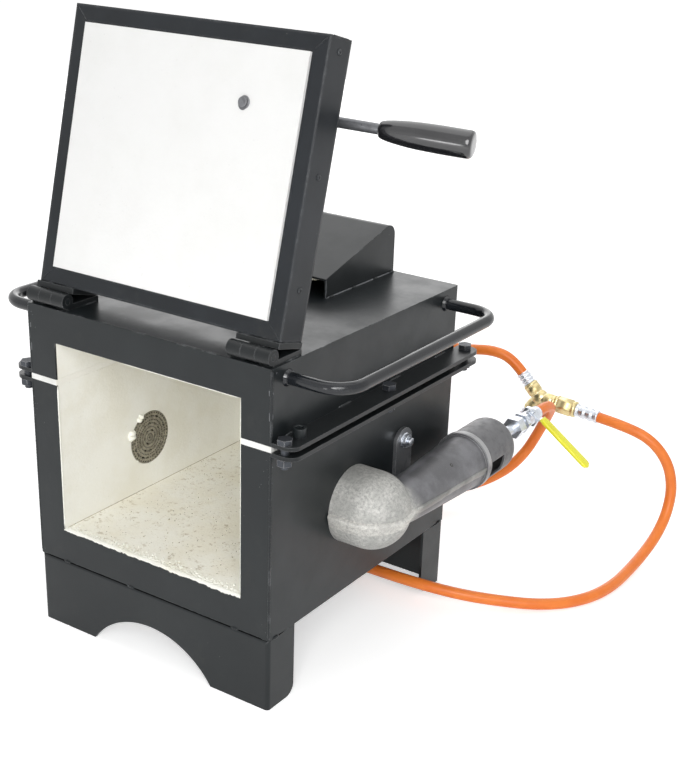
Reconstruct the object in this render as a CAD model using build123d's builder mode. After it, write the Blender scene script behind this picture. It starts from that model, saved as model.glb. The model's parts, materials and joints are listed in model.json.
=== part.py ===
"""Gas melting furnace: a bolted two-part steel casing with a board lining, a
swing-up door, two side burners with gas valves and a rubber supply hose.

Millimetres, +Z up, X across the front, the door side faces -Y. The origin lies
on the floor in the middle of the furnace's overall box, the hoses left out.
"""
import math
import os

from build123d import *

os.makedirs("parts", exist_ok=True)

# Casing
casing_w = 300.0
casing_d = 328.5
casing_z = 79.0            # underside of the casing above the floor
casing_top = 356.0
sheet = 2.0                # casing and hood sheet
gasket_z = 276.0           # where the lower half ends
gasket_t = 6.0
opening_w = 231.6
opening_z = 115.9          # top of the hearth slab
opening_h = 204.9
board_t = 32.0             # rear lining board
bend_r = 1.8

# Flange strips and their bolts
flange_w = 25.0
flange_t = 4.0
flange_over = 13.5         # the strips run on past the casing's rear face
flange_corner_r = 11.0
bolt_line = 11.0           # bolt centres out from the casing side
bolt_end = 6.0             # first bolt from the strip's front end
bolt_mid = 180.0
bolt_last = 10.0           # last bolt from the strip's rear end
bolt_r = 4.0
bolt_af = 13.0
bolt_head_t = 5.3
nut_t = 6.5
bolt_tail = 3.5
hole_gap = 0.3
thread_gap = 0.05
bush_y = 28.0
bush_r = 6.5
bush_hole_r = 4.0
bush_h = 9.0

# Feet
foot_sheet = 3.0
foot_d = 42.0
foot_corner_r = 12.0
foot_bend_r = 4.0
arch_half = 78.0
arch_h = 40.5

# Carrying handles
handle_bar_r = 6.0
handle_drop = 14.4         # bar below the casing's top
handle_out = 62.0
handle_end = 24.3          # legs from the casing's front and rear
handle_bend_r = 28.0
handle_weld_r = 8.5
handle_weld_t = 3.0
handle_weld_taper = 30.0

# Flue and hood
flue_back = 66.5           # flue centre from the casing's rear
flue_r = 30.0
hood_w = 139.6
hood_d = 128.7
hood_back = 2.5
hood_h0 = 20.6
hood_h1 = 57.2
hood_bend_r = 12.0

# Burners
burner_y = 134.8
burner_z = 174.8
burner_r = 30.0
burner_gap = 0.3
burner_plate_t = 6.0
port_r = 1.7
port_pitch = 8.0
port_rings = 3             # rings round the middle port
dome_r = 40.0
dome_barrel = 25.0
tube_out = 40.0            # tube centre from the casing's side
tube_z = 175.5
tube_profile_y = (150.0, 168.0, 184.0, 297.0)
tube_profile_r = (21.0, 23.0, 24.0, 30.4)
tube_rim_r = 32.5
tube_rim_t = 8.0
throat_r = 25.5
throat_l = 30.0
throat_taper = 18.0
bell_r = 31.0
bell_wall = 2.6
bell_l = 64.0
bell_round = 13.0
slot_l = 28.0
slot_h = 20.0
slot_y = 301.0
slot_tilt = 12.0

# Bracket that steadies each burner tube
bracket_t = 4.0
bracket_w = 30.0
bracket_y = 227.0
bracket_z = 172.0
bracket_h = 54.0
bracket_stud_z = 212.6

# Jets, valves and levers
jet_r = 6.0
jet_nozzle_l = 26.0
jet_shoulder_r = 10.0
jet_shoulder_t = 4.0
jet_nut_y = 405.0
jet_nut_af = 22.0
jet_nut_t = 13.0
jet_thread_r = 7.0
valve_y = 440.0
valve_l = 30.0
valve_r = 9.0
valve_hex_af = 21.0
valve_hex_l = 6.0
stem_roll = 35.0           # stem leans out from upright
stem_r = 2.5
stem_gap = 0.05
stem_boss_r = 6.0
stem_boss_h = 12.5
stem_tip = 2.0             # stem proud of the lever
lever_t = 2.0
lever_w = 8.0
lever_l = 85.0
lever_step = 3.0
lever_step_at = 12.0
sleeve_t = 1.2
sleeve_from = 17.0
lever_lift = 0.3

# Hinges
hinge_y = 5.0
hinge_rise = 9.0           # hinge line above the casing's top
knuckle_r = 7.5
hinge_in = 26.0            # hinge centre from the casing's side
hinge_w = 48.0
knuckle_gap = 0.3
pin_r = 3.0
pin_gap = 0.05
leaf_d = 42.0
leaf_clear = 0.9
leaf_stop_gap = 0.3
web_n0 = 5.4
web_n1 = 9.4
slab_s = 7.4

# Door
door_lean = 14.4           # leans back when open
door_side = 3.2            # door stops short of the casing's sides
door_h = 266.3
door_t = 32.5
door_rise = 13.0           # lower edge above the hinge line
door_set = 8.36            # frame face behind the hinge line
door_wall = 3.0
door_sheet = 2.0
door_rim = 16.5
door_board_proud = 3.0
door_rod_r = 5.0
door_rod_x = 68.0
door_rod_s = 210.5
door_rod_n = 15.5
door_rod_bend_r = 16.0
door_rod_angle = 14.2
door_rod_gap = 0.05
door_washer_r = 11.0
door_washer_t = 2.0
grip_from = 100.0
grip_l = 88.0
grip_r0 = 8.25
grip_r1 = 13.0
grip_hold = 60.0           # rod's length inside the grip
grip_band = 14.0           # straight band at the grip's thick end
grip_edge = 2.0            # rounding at both of its ends

# Hose and fittings
hose_r = 6.5
ferrule_r = 8.2
tee_x = 150.0
tee_y = 560.0
tee_z = 155.0
tee_leg_r = 7.6
tee_leg_l = 22.0
tee_ball_r = 8.6
tee_angles = (-4.0, 135.0, 236.0)
swivel_af = 19.0
swivel_l = 28.0
ferrule_l = 16.0
ferrule_supply_l = 30.0
valve_ferrule_l = 12.0
floor_gap = 0.1
coil_x = -160.0
coil_y = 425.0
coil_out_r = 80.0
coil_in_r = 64.0
coil_pitch = 13.6
coil_layer_gap = 0.6
connector_af = 21.0
connector_nut_l = 16.0
connector_nose_r = 6.0
connector_nose_l = 14.0

# Sizes that follow
lean = math.radians(door_lean)
half_w = casing_w / 2
tube_x = half_w + tube_out
hinge_x = half_w - hinge_in
hinge_z = casing_top + hinge_rise
handle_z = casing_top - handle_drop
handle_x = half_w + handle_out
handle_y0 = handle_end
handle_y1 = casing_d - handle_end
door_w = casing_w - 2 * door_side
flange_d = casing_d + flange_over
bolt_rows = (bolt_end, bolt_mid, flange_d - bolt_last)
flue_y = casing_d - flue_back
hood_y1 = casing_d - hood_back
hood_y0 = hood_y1 - hood_d
half_opening = opening_w / 2
gasket_top = gasket_z + gasket_t
roof_z = opening_z + opening_h
lining_x = half_w - sheet
valve_end = valve_y + valve_l / 2
front_y = -(valve_end - (knuckle_r - hinge_y)) / 2
rear_y = front_y + casing_d
lining_y = rear_y - sheet
rear_board_y = lining_y - board_t
hinge_line = (front_y + hinge_y, hinge_z)
leaf_top = (hinge_z + slab_s * math.cos(lean)
            - (door_set + door_t) * math.sin(lean) - leaf_stop_gap)
bell_y0 = front_y + tube_profile_y[-1]
bell_y1 = bell_y0 + bell_l
stem_dir = Vector(math.sin(math.radians(stem_roll)), 0, math.cos(math.radians(stem_roll)))
lever_dir = Vector(math.cos(math.radians(stem_roll)), 0, -math.sin(math.radians(stem_roll)))


def save(piece, name):
    """Label one finished piece and write its STEP file."""
    piece.label = name
    export_step(piece, f"parts/{name}.step")


def save_pair(piece, name):
    """Write a right-hand piece and its mirror image on the left."""
    left = mirror(piece, about=Plane.YZ)
    save(piece, f"{name}_right")
    save(left, f"{name}_left")


def burner_tube_outline():
    """Half outline of the burner's mixing tube, to be revolved about its axis."""
    stations = [
        (tube_x + r, front_y + y) for y, r in zip(tube_profile_y, tube_profile_r)
    ]
    with BuildLine() as outline:
        Polyline(
            (tube_x, stations[-1][1]), (tube_x, stations[0][1]), stations[0], stations[1]
        )
        Spline(*stations[1:])
        Line(stations[-1], (tube_x, stations[-1][1]))
    return outline.line


# Casing halves
with BuildPart() as lower_shell:
    with BuildSketch(Plane.XY.offset(casing_z)):
        with Locations((0, (front_y + sheet + rear_y) / 2)):
            Rectangle(casing_w, casing_d - sheet)
    extrude(amount=gasket_z - casing_z)
    offset(amount=-sheet, openings=[lower_shell.faces().sort_by(Axis.Z)[-1],
                                    lower_shell.faces().sort_by(Axis.Y)[0]])
    fillet(lower_shell.edges().filter_by(Axis.Z).filter_by_position(Axis.Y, rear_y - 0.1, rear_y + 0.1),
           radius=bend_r)
    with BuildSketch(Plane.YZ):
        with Locations((front_y + burner_y, burner_z)):
            Circle(burner_r + burner_gap)
    extrude(amount=casing_w, both=True, mode=Mode.SUBTRACT)
save(lower_shell.part, "lower_shell")

with BuildPart() as lower_front_frame:
    with BuildSketch(Plane.XZ.offset(-front_y)):
        with Locations((0, (casing_z + gasket_z) / 2)):
            Rectangle(casing_w, gasket_z - casing_z)
        with Locations((0, (opening_z + gasket_z) / 2)):
            Rectangle(opening_w, gasket_z - opening_z, mode=Mode.SUBTRACT)
    extrude(amount=-sheet)
save(lower_front_frame.part, "lower_front_frame")

with BuildPart() as upper_shell:
    with BuildSketch(Plane.XY.offset(gasket_top)):
        with Locations((0, (front_y + sheet + rear_y) / 2)):
            Rectangle(casing_w, casing_d - sheet)
    extrude(amount=casing_top - gasket_top)
    offset(amount=-sheet, openings=[upper_shell.faces().sort_by(Axis.Z)[0],
                                    upper_shell.faces().sort_by(Axis.Y)[0]])
    fillet(upper_shell.edges().filter_by(Axis.Z).filter_by_position(Axis.Y, rear_y - 0.1, rear_y + 0.1),
           radius=bend_r)
    with BuildSketch(Plane.XY.offset(casing_top)):
        with Locations((0, front_y + flue_y)):
            Circle(flue_r)
    extrude(amount=-2 * sheet, mode=Mode.SUBTRACT)
save(upper_shell.part, "upper_shell")

with BuildPart() as upper_front_frame:
    with BuildSketch(Plane.XZ.offset(-front_y)):
        with Locations((0, (gasket_top + casing_top) / 2)):
            Rectangle(casing_w, casing_top - gasket_top)
        with Locations((0, (gasket_top + roof_z) / 2)):
            Rectangle(opening_w, roof_z - gasket_top, mode=Mode.SUBTRACT)
    extrude(amount=-sheet)
save(upper_front_frame.part, "upper_front_frame")

with BuildPart() as split_gasket:
    with BuildSketch(Plane.XY.offset(gasket_z)):
        with Locations((0, (front_y + rear_y) / 2)):
            Rectangle(casing_w, casing_d)
        with Locations((0, (front_y + rear_board_y) / 2)):
            Rectangle(opening_w, rear_board_y - front_y, mode=Mode.SUBTRACT)
    extrude(amount=gasket_t)
save(split_gasket.part, "split_gasket")

# Lining boards
with BuildPart() as hearth_slab:
    with BuildSketch(Plane.XY.offset(casing_z + sheet)):
        with Locations((0, (front_y + sheet + rear_board_y) / 2)):
            Rectangle(opening_w, rear_board_y - front_y - sheet)
    extrude(amount=opening_z - casing_z - sheet)
save(hearth_slab.part, "hearth_slab")

with BuildPart() as lower_side_lining:
    with BuildSketch(Plane.XY.offset(casing_z + sheet)):
        with Locations(((half_opening + lining_x) / 2, (front_y + sheet + rear_board_y) / 2)):
            Rectangle(lining_x - half_opening, rear_board_y - front_y - sheet)
    extrude(amount=gasket_z - casing_z - sheet)
    with BuildSketch(Plane.YZ):
        with Locations((front_y + burner_y, burner_z)):
            Circle(burner_r + burner_gap)
    extrude(amount=casing_w, mode=Mode.SUBTRACT)
save_pair(lower_side_lining.part, "lower_side_lining")

with BuildPart() as lower_rear_lining:
    with BuildSketch(Plane.XY.offset(casing_z + sheet)):
        with Locations((0, (rear_board_y + lining_y) / 2)):
            Rectangle(2 * lining_x, board_t)
    extrude(amount=gasket_z - casing_z - sheet)
save(lower_rear_lining.part, "lower_rear_lining")

with BuildPart() as upper_side_lining:
    with BuildSketch(Plane.XY.offset(gasket_top)):
        with Locations(((half_opening + lining_x) / 2, (front_y + sheet + rear_board_y) / 2)):
            Rectangle(lining_x - half_opening, rear_board_y - front_y - sheet)
    extrude(amount=roof_z - gasket_top)
save_pair(upper_side_lining.part, "upper_side_lining")

with BuildPart() as upper_rear_lining:
    with BuildSketch(Plane.XY.offset(gasket_top)):
        with Locations((0, (rear_board_y + lining_y) / 2)):
            Rectangle(2 * lining_x, board_t)
    extrude(amount=roof_z - gasket_top)
save(upper_rear_lining.part, "upper_rear_lining")

with BuildPart() as roof_slab:
    with BuildSketch(Plane.XY.offset(roof_z)):
        with Locations((0, (front_y + sheet + lining_y) / 2)):
            Rectangle(2 * lining_x, lining_y - front_y - sheet)
        with Locations((0, front_y + flue_y)):
            Circle(flue_r, mode=Mode.SUBTRACT)
    extrude(amount=casing_top - sheet - roof_z)
save(roof_slab.part, "roof_slab")

# Flange strips
for level, name in ((gasket_z - flange_t, "lower_flange"), (gasket_top, "upper_flange")):
    with BuildPart() as flange:
        with BuildSketch(Plane.XY.offset(level)) as strip:
            with Locations((half_w + flange_w / 2, front_y + flange_d / 2)):
                Rectangle(flange_w, flange_d)
            fillet(strip.vertices().sort_by(Axis.X)[-2:], radius=flange_corner_r)
            with Locations(*[(half_w + bolt_line, front_y + y) for y in bolt_rows]):
                Circle(bolt_r + hole_gap, mode=Mode.SUBTRACT)
            with Locations((half_w + bolt_line, front_y + bush_y)):
                Circle(bush_hole_r, mode=Mode.SUBTRACT)
        extrude(amount=flange_t)
    save_pair(flange.part, name)

with BuildPart() as flange_bolts:
    with BuildSketch(Plane.XY.offset(gasket_top + flange_t)):
        with Locations(*[(side * (half_w + bolt_line), front_y + y)
                         for side in (-1, 1) for y in bolt_rows]):
            RegularPolygon(bolt_af / 2, 6, major_radius=False)
    extrude(amount=bolt_head_t)
    with BuildSketch(Plane.XY.offset(gasket_top + flange_t)):
        with Locations(*[(side * (half_w + bolt_line), front_y + y)
                         for side in (-1, 1) for y in bolt_rows]):
            Circle(bolt_r)
    extrude(amount=-(2 * flange_t + gasket_t + nut_t + bolt_tail))
save(flange_bolts.part, "flange_bolts")

with BuildPart() as flange_nuts:
    with BuildSketch(Plane.XY.offset(gasket_z - flange_t)):
        with Locations(*[(side * (half_w + bolt_line), front_y + y)
                         for side in (-1, 1) for y in bolt_rows]):
            RegularPolygon(bolt_af / 2, 6, major_radius=False)
            Circle(bolt_r + thread_gap, mode=Mode.SUBTRACT)
    extrude(amount=-nut_t)
save(flange_nuts.part, "flange_nuts")

with BuildPart() as flange_bushes:
    with BuildSketch(Plane.XY.offset(gasket_top + flange_t)):
        with Locations(*[(side * (half_w + bolt_line), front_y + bush_y) for side in (-1, 1)]):
            Circle(bush_r)
            Circle(bush_hole_r, mode=Mode.SUBTRACT)
    extrude(amount=bush_h)
save(flange_bushes.part, "flange_bushes")

# Feet
arch_r = (arch_half ** 2 + arch_h ** 2) / (2 * arch_h)


def foot(outer_y, inner_y):
    """A folded channel across the casing: outer plate, top fold and two returns."""
    towards = Axis.Y if inner_y > outer_y else -Axis.Y
    with BuildPart() as channel:
        with BuildSketch(Plane.XY):
            with Locations((0, (outer_y + inner_y) / 2)):
                Rectangle(casing_w, abs(inner_y - outer_y))
        extrude(amount=casing_z)
        outer = channel.faces().sort_by(towards)[0]
        fillet(outer.edges().filter_by(Axis.X).sort_by(Axis.Z)[-1:]
               + outer.edges().filter_by(Axis.Z), radius=foot_bend_r)
        offset(amount=-foot_sheet, openings=[channel.faces().sort_by(Axis.Z)[0],
                                             channel.faces().sort_by(towards)[-1]])
        rims = channel.edges().filter_by(Axis.X).group_by(Axis.Z)[0]
        fillet([e for e in rims if abs(e.center().Y - inner_y) < 0.1], radius=foot_corner_r)
    return channel.part


with BuildPart() as front_foot:
    add(foot(front_y, front_y + foot_d))
    with BuildSketch(Plane.XZ.offset(-front_y + 1)):
        with Locations((0, arch_h - arch_r)):
            Circle(arch_r)
    extrude(amount=-(foot_d / 2), mode=Mode.SUBTRACT)
save(front_foot.part, "front_foot")

with BuildPart() as rear_foot:
    add(foot(rear_y, rear_y - foot_d))
save(rear_foot.part, "rear_foot")

# Carrying handles
with BuildPart() as carry_handle:
    with BuildLine(Plane.XY.offset(handle_z)):
        FilletPolyline(
            (half_w, front_y + handle_y0),
            (handle_x, front_y + handle_y0),
            (handle_x, front_y + handle_y1),
            (half_w, front_y + handle_y1),
            radius=handle_bend_r,
        )
    with BuildSketch(Plane.YZ.offset(half_w)):
        with Locations((front_y + handle_y0, handle_z)):
            Circle(handle_bar_r)
    sweep()
    with BuildSketch(Plane.YZ.offset(half_w)):
        with Locations((front_y + handle_y0, handle_z), (front_y + handle_y1, handle_z)):
            Circle(handle_weld_r)
    extrude(amount=handle_weld_t, taper=handle_weld_taper)
save_pair(carry_handle.part, "carry_handle")

# Flue hood
hood_slope = (hood_h1 - hood_h0) / hood_d
hood_under = sheet * math.hypot(1, hood_slope)
with BuildPart() as flue_hood:
    for side, drop, back_wall, fold_r, mode in (
        (hood_w / 2, 0, 0, hood_bend_r, Mode.ADD),
        (hood_w / 2 - sheet, hood_under, sheet, hood_bend_r - sheet, Mode.SUBTRACT),
    ):
        with BuildSketch(Plane.YZ.offset(-side)) as wedge:
            with BuildLine():
                Polyline(
                    (front_y + hood_y0, casing_top),
                    (front_y + hood_y0, casing_top + hood_h0 - drop),
                    (front_y + hood_y1 - back_wall, casing_top + hood_h1 - drop - back_wall * hood_slope),
                    (front_y + hood_y1 - back_wall, casing_top),
                    close=True,
                )
            make_face()
            fillet(wedge.vertices().sort_by(Axis.Y)[-1:], radius=fold_r)
        extrude(amount=2 * side, mode=mode)
save(flue_hood.part, "flue_hood")

# Burners
with BuildPart() as burner_plate:
    with BuildSketch(Plane.YZ.offset(half_opening)):
        with Locations((front_y + burner_y, burner_z)):
            Circle(burner_r)
    extrude(amount=half_w - half_opening)
    with BuildSketch(Plane.YZ.offset(half_opening)):
        with Locations((front_y + burner_y, burner_z)):
            Circle(port_r)
            for ring in range(1, port_rings + 1):
                with PolarLocations(ring * port_pitch, 6 * ring):
                    Circle(port_r)
    extrude(amount=burner_plate_t, mode=Mode.SUBTRACT)
save_pair(burner_plate.part, "burner_plate")

with BuildPart() as burner_casting:
    with BuildSketch(Plane.XY.offset(burner_z)):
        with BuildLine():
            head_y = front_y + burner_y
            Polyline((half_w + dome_barrel + dome_r, head_y), (half_w, head_y),
                     (half_w, head_y + dome_r), (half_w + dome_barrel, head_y + dome_r))
            RadiusArc((half_w + dome_barrel, head_y + dome_r),
                      (half_w + dome_barrel + dome_r, head_y), dome_r)
        make_face()
    revolve(axis=Axis((0, front_y + burner_y, burner_z), (1, 0, 0)))
    with BuildSketch(Plane.XY.offset(tube_z)):
        add(burner_tube_outline())
        make_face()
    revolve(axis=Axis((tube_x, 0, tube_z), (0, 1, 0)))
    with BuildSketch(Plane.XZ.offset(-bell_y0)):
        with Locations((tube_x, tube_z)):
            Circle(tube_rim_r)
    extrude(amount=tube_rim_t)
    with BuildSketch(Plane.XZ.offset(-bell_y0)):
        with Locations((tube_x, tube_z)):
            Circle(throat_r)
    extrude(amount=throat_l, taper=throat_taper, mode=Mode.SUBTRACT)
save_pair(burner_casting.part, "burner_casting")

with BuildPart() as air_bell:
    with BuildSketch(Plane.XZ.offset(-bell_y0)):
        with Locations((tube_x, tube_z)):
            Circle(bell_r)
    extrude(amount=-bell_l)
    fillet(air_bell.edges().sort_by(Axis.Y)[-1:], radius=bell_round)
    offset(amount=-bell_wall, openings=air_bell.faces().sort_by(Axis.Y)[0])
    with BuildSketch(Plane.XZ.offset(-bell_y0)):
        with Locations((tube_x, tube_z)):
            Circle(jet_r + thread_gap)
    extrude(amount=-2 * bell_l, mode=Mode.SUBTRACT)
    with BuildSketch(Plane(origin=(tube_x, front_y + slot_y, tube_z), x_dir=(1, 0, 0), z_dir=(0, 1, 0))):
        with Locations(Location((0, 0), slot_tilt)):
            Rectangle(3 * bell_r, slot_h)
    extrude(amount=slot_l, mode=Mode.SUBTRACT)
save_pair(air_bell.part, "air_bell")

with BuildPart() as burner_bracket:
    with BuildSketch(Plane.YZ.offset(half_w)):
        with Locations((front_y + bracket_y, bracket_z + (bracket_h - bracket_w / 2) / 2)):
            Rectangle(bracket_w, bracket_h - bracket_w / 2)
        with Locations((front_y + bracket_y, bracket_z + bracket_h - bracket_w / 2)):
            Circle(bracket_w / 2)
        with Locations((front_y + bracket_y, bracket_stud_z)):
            Circle(bolt_r + hole_gap, mode=Mode.SUBTRACT)
    extrude(amount=bracket_t)
    with BuildSketch(Plane.XY.offset(bracket_z)):
        with Locations(((half_w + tube_x) / 2, front_y + bracket_y)):
            Rectangle(tube_x - half_w, bracket_w)
    extrude(amount=bracket_t)
    with BuildSketch(Plane.XY.offset(tube_z)):
        add(burner_tube_outline())
        make_face()
    revolve(axis=Axis((tube_x, 0, tube_z), (0, 1, 0)), mode=Mode.SUBTRACT)
bracket_piece = burner_bracket.part.solids().sort_by(Axis.X)[0]
save_pair(Part() + bracket_piece, "burner_bracket")

with BuildPart() as bracket_studs:
    with BuildSketch(Plane.YZ.offset(half_w)):
        with Locations((front_y + bracket_y, bracket_stud_z)):
            Circle(bolt_r)
    extrude(amount=bracket_t + bolt_head_t + bolt_tail)
    with BuildSketch(Plane.YZ.offset(half_w + bracket_t)):
        with Locations((front_y + bracket_y, bracket_stud_z)):
            RegularPolygon(bolt_af / 2, 6, major_radius=False)
    extrude(amount=bolt_head_t)
    mirror(about=Plane.YZ)
save(bracket_studs.part, "bracket_studs")

# Jets and valves
with BuildPart() as jet_holder:
    with BuildSketch(Plane.XZ.offset(-(bell_y1 - jet_nozzle_l))):
        with Locations((tube_x, tube_z)):
            Circle(jet_r)
    extrude(amount=-(front_y + jet_nut_y - bell_y1 + jet_nozzle_l))
    chamfer(jet_holder.edges().sort_by(Axis.Y)[:1], length=jet_r / 2)
    with BuildSketch(Plane.XZ.offset(-bell_y1)):
        with Locations((tube_x, tube_z)):
            Circle(jet_shoulder_r)
    extrude(amount=-jet_shoulder_t)
    with BuildSketch(Plane.XZ.offset(-(front_y + jet_nut_y))):
        with Locations((tube_x, tube_z)):
            RegularPolygon(jet_nut_af / 2, 6, major_radius=False)
    extrude(amount=-jet_nut_t)
    with BuildSketch(Plane.XZ.offset(-(front_y + jet_nut_y))):
        with Locations((tube_x, tube_z)):
            Circle(jet_thread_r)
    extrude(amount=-(valve_y - valve_l / 2 - jet_nut_y))
save_pair(jet_holder.part, "jet_holder")

stem_origin = Vector(tube_x, front_y + valve_y, tube_z)
stem_plane = Plane(origin=stem_origin, x_dir=lever_dir, z_dir=stem_dir)

with BuildPart() as valve_body:
    with BuildSketch(Plane.XZ.offset(-(front_y + valve_y - valve_l / 2))):
        with Locations((tube_x, tube_z)):
            Circle(valve_r)
    extrude(amount=-valve_l)
    for end_y in (valve_y - valve_l / 2, valve_y + valve_l / 2 - valve_hex_l):
        with BuildSketch(Plane.XZ.offset(-(front_y + end_y))):
            with Locations((tube_x, tube_z)):
                RegularPolygon(valve_hex_af / 2, 6, major_radius=False)
        extrude(amount=-valve_hex_l)
    with BuildSketch(stem_plane):
        Circle(stem_boss_r)
    extrude(amount=stem_boss_h)
    with BuildSketch(stem_plane.offset(stem_boss_h / 2)):
        Circle(stem_r + stem_gap)
    extrude(amount=stem_boss_h, mode=Mode.SUBTRACT)
save_pair(valve_body.part, "valve_body")

lever_base = stem_boss_h + lever_lift
with BuildPart() as valve_lever:
    with BuildSketch(stem_plane.offset(stem_boss_h / 2 + lever_lift)):
        Circle(stem_r)
    extrude(amount=stem_boss_h / 2 + lever_t + stem_tip)
    with BuildSketch(Plane(origin=stem_origin, x_dir=lever_dir, z_dir=(0, -1, 0))):
        with BuildLine():
            Polyline(
                (-lever_w / 2, lever_base),
                (lever_step_at, lever_base),
                (lever_step_at + lever_step, lever_base + lever_step),
                (lever_l, lever_base + lever_step),
                (lever_l, lever_base + lever_step + lever_t),
                (lever_step_at + lever_step - lever_t / 2, lever_base + lever_step + lever_t),
                (lever_step_at - lever_t / 2, lever_base + lever_t),
                (-lever_w / 2, lever_base + lever_t),
                close=True,
            )
        make_face()
    extrude(amount=lever_w / 2, both=True)
save_pair(valve_lever.part, "valve_lever")

with BuildPart() as lever_sleeve:
    with BuildSketch(stem_plane.offset(lever_base + lever_step - sleeve_t)):
        with Locations(((sleeve_from + lever_l + sleeve_t) / 2, 0)):
            SlotOverall(lever_l + sleeve_t - sleeve_from + lever_w / 2, lever_w + 2 * sleeve_t)
    extrude(amount=lever_t + 2 * sleeve_t)
    with BuildSketch(stem_plane.offset(lever_base + lever_step)):
        with Locations(((lever_l + lever_step_at) / 2, 0)):
            Rectangle(lever_l - lever_step_at, lever_w)
    extrude(amount=lever_t, mode=Mode.SUBTRACT)
save_pair(lever_sleeve.part, "lever_sleeve")

# Hinges
knuckle_w = (hinge_w - 2 * knuckle_gap) / 3
knuckle_x = [hinge_x - hinge_w / 2 + i * (knuckle_w + knuckle_gap) for i in range(3)]
relief_y = hinge_y + knuckle_r + leaf_clear

with BuildPart() as hinge_base:
    with BuildSketch(Plane.XY.offset(casing_top)):
        with Locations((hinge_x, front_y + (relief_y + hinge_y + leaf_d) / 2)):
            Rectangle(hinge_w, hinge_y + leaf_d - relief_y)
    extrude(amount=leaf_top - casing_top)
    for x in (knuckle_x[0], knuckle_x[2]):
        with BuildSketch(Plane.YZ.offset(x)):
            with Locations(hinge_line):
                Circle(knuckle_r)
            with Locations((front_y + (hinge_y + relief_y) / 2, (casing_top + leaf_top) / 2)):
                Rectangle(relief_y - hinge_y, leaf_top - casing_top)
        extrude(amount=knuckle_w)
    with BuildSketch(Plane.YZ.offset(hinge_x - hinge_w)):
        with Locations(hinge_line):
            Circle(pin_r)
    extrude(amount=2 * hinge_w, mode=Mode.SUBTRACT)
save_pair(hinge_base.part, "hinge_base")

with BuildPart() as hinge_leaf:
    for x, width, with_web in ((hinge_x - hinge_w / 2, hinge_w, False), (knuckle_x[1], knuckle_w, True)):
        section = Plane(origin=(x, *hinge_line), x_dir=(0, math.cos(lean), -math.sin(lean)),
                        z_dir=(1, 0, 0))
        with BuildSketch(section):
            with Locations(((web_n0 + door_set + door_t) / 2, (slab_s + door_rise) / 2)):
                Rectangle(door_set + door_t - web_n0, door_rise - slab_s)
            if with_web:
                with Locations(((web_n0 + web_n1) / 2, door_rise / 2)):
                    Rectangle(web_n1 - web_n0, door_rise)
                Circle(knuckle_r)
                Circle(pin_r + pin_gap, mode=Mode.SUBTRACT)
        extrude(amount=width)
save_pair(hinge_leaf.part, "hinge_leaf")

with BuildPart() as hinge_pins:
    with BuildSketch(Plane.YZ.offset(hinge_x - hinge_w / 2)):
        with Locations(hinge_line):
            Circle(pin_r)
    extrude(amount=hinge_w)
    mirror(about=Plane.YZ)
save(hinge_pins.part, "hinge_pins")

# Door
door_up = Vector(0, math.sin(lean), math.cos(lean))
door_back = Vector(0, math.cos(lean), -math.sin(lean))
door_origin = Vector(0, *hinge_line)
door_face = Plane(origin=door_origin + door_back * door_set, x_dir=(1, 0, 0), z_dir=-door_back)
door_mid = door_rise + door_h / 2
rod_out = Plane(origin=door_origin + door_back * (door_set + door_t) + door_up * door_rod_s,
                x_dir=(1, 0, 0), z_dir=door_back)

with BuildPart() as door_pan:
    with BuildSketch(door_face):
        with Locations((0, door_mid)):
            Rectangle(door_w, door_h)
    extrude(amount=-door_t)
    with BuildSketch(door_face.offset(-door_wall)):
        with Locations((0, door_mid)):
            Rectangle(door_w - 2 * door_wall, door_h - 2 * door_wall)
    extrude(amount=-(door_t - door_wall - door_sheet), mode=Mode.SUBTRACT)
    with BuildSketch(door_face):
        with Locations((0, door_mid)):
            Rectangle(door_w - 2 * door_rim, door_h - 2 * door_rim)
    extrude(amount=-door_t / 2, mode=Mode.SUBTRACT)
    with BuildSketch(rod_out):
        with Locations((door_rod_x, 0)):
            Circle(door_rod_r + door_rod_gap)
    extrude(amount=-door_t, mode=Mode.SUBTRACT)
save(door_pan.part, "door_pan")

with BuildPart() as door_board:
    with BuildSketch(door_face.offset(-door_wall)):
        with Locations((0, door_mid)):
            Rectangle(door_w - 2 * door_wall, door_h - 2 * door_wall)
    extrude(amount=-(door_t - door_wall - door_sheet))
    with BuildSketch(door_face.offset(-door_wall)):
        with Locations((0, door_mid)):
            Rectangle(door_w - 2 * door_rim, door_h - 2 * door_rim)
    extrude(amount=door_wall + door_board_proud)
    with BuildSketch(rod_out):
        with Locations((door_rod_x, 0)):
            Circle(door_rod_r + door_rod_gap)
    extrude(amount=-2 * door_t, mode=Mode.SUBTRACT)
save(door_board.part, "door_board")

rod_plane = Plane(origin=door_origin + door_up * door_rod_s, x_dir=(1, 0, 0), z_dir=door_up)
rod_slope = math.radians(door_rod_angle)
rod_n0 = door_set + door_t
rod_corner = Vector(door_rod_x, rod_n0 + door_rod_n)
rod_dir = Vector(math.cos(rod_slope), math.sin(rod_slope))
grip_start = rod_corner + rod_dir * grip_from
grip_end = grip_start + rod_dir * grip_l
rod_end = grip_start + rod_dir * grip_hold
grip_side = Vector(-math.sin(rod_slope), math.cos(rod_slope))

with BuildPart() as door_handle_rod:
    with BuildLine(rod_plane):
        FilletPolyline(
            (door_rod_x, door_set - door_board_proud),
            (rod_corner.X, rod_corner.Y),
            (rod_end.X, rod_end.Y),
            radius=door_rod_bend_r,
        )
    with BuildSketch(Plane(origin=door_origin + door_back * (door_set - door_board_proud)
                           + door_up * door_rod_s, x_dir=(1, 0, 0), z_dir=door_back)):
        with Locations((door_rod_x, 0)):
            Circle(door_rod_r)
    sweep()
    with BuildSketch(rod_out):
        with Locations((door_rod_x, 0)):
            Circle(door_washer_r)
    extrude(amount=door_washer_t)
save(door_handle_rod.part, "door_handle_rod")

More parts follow.
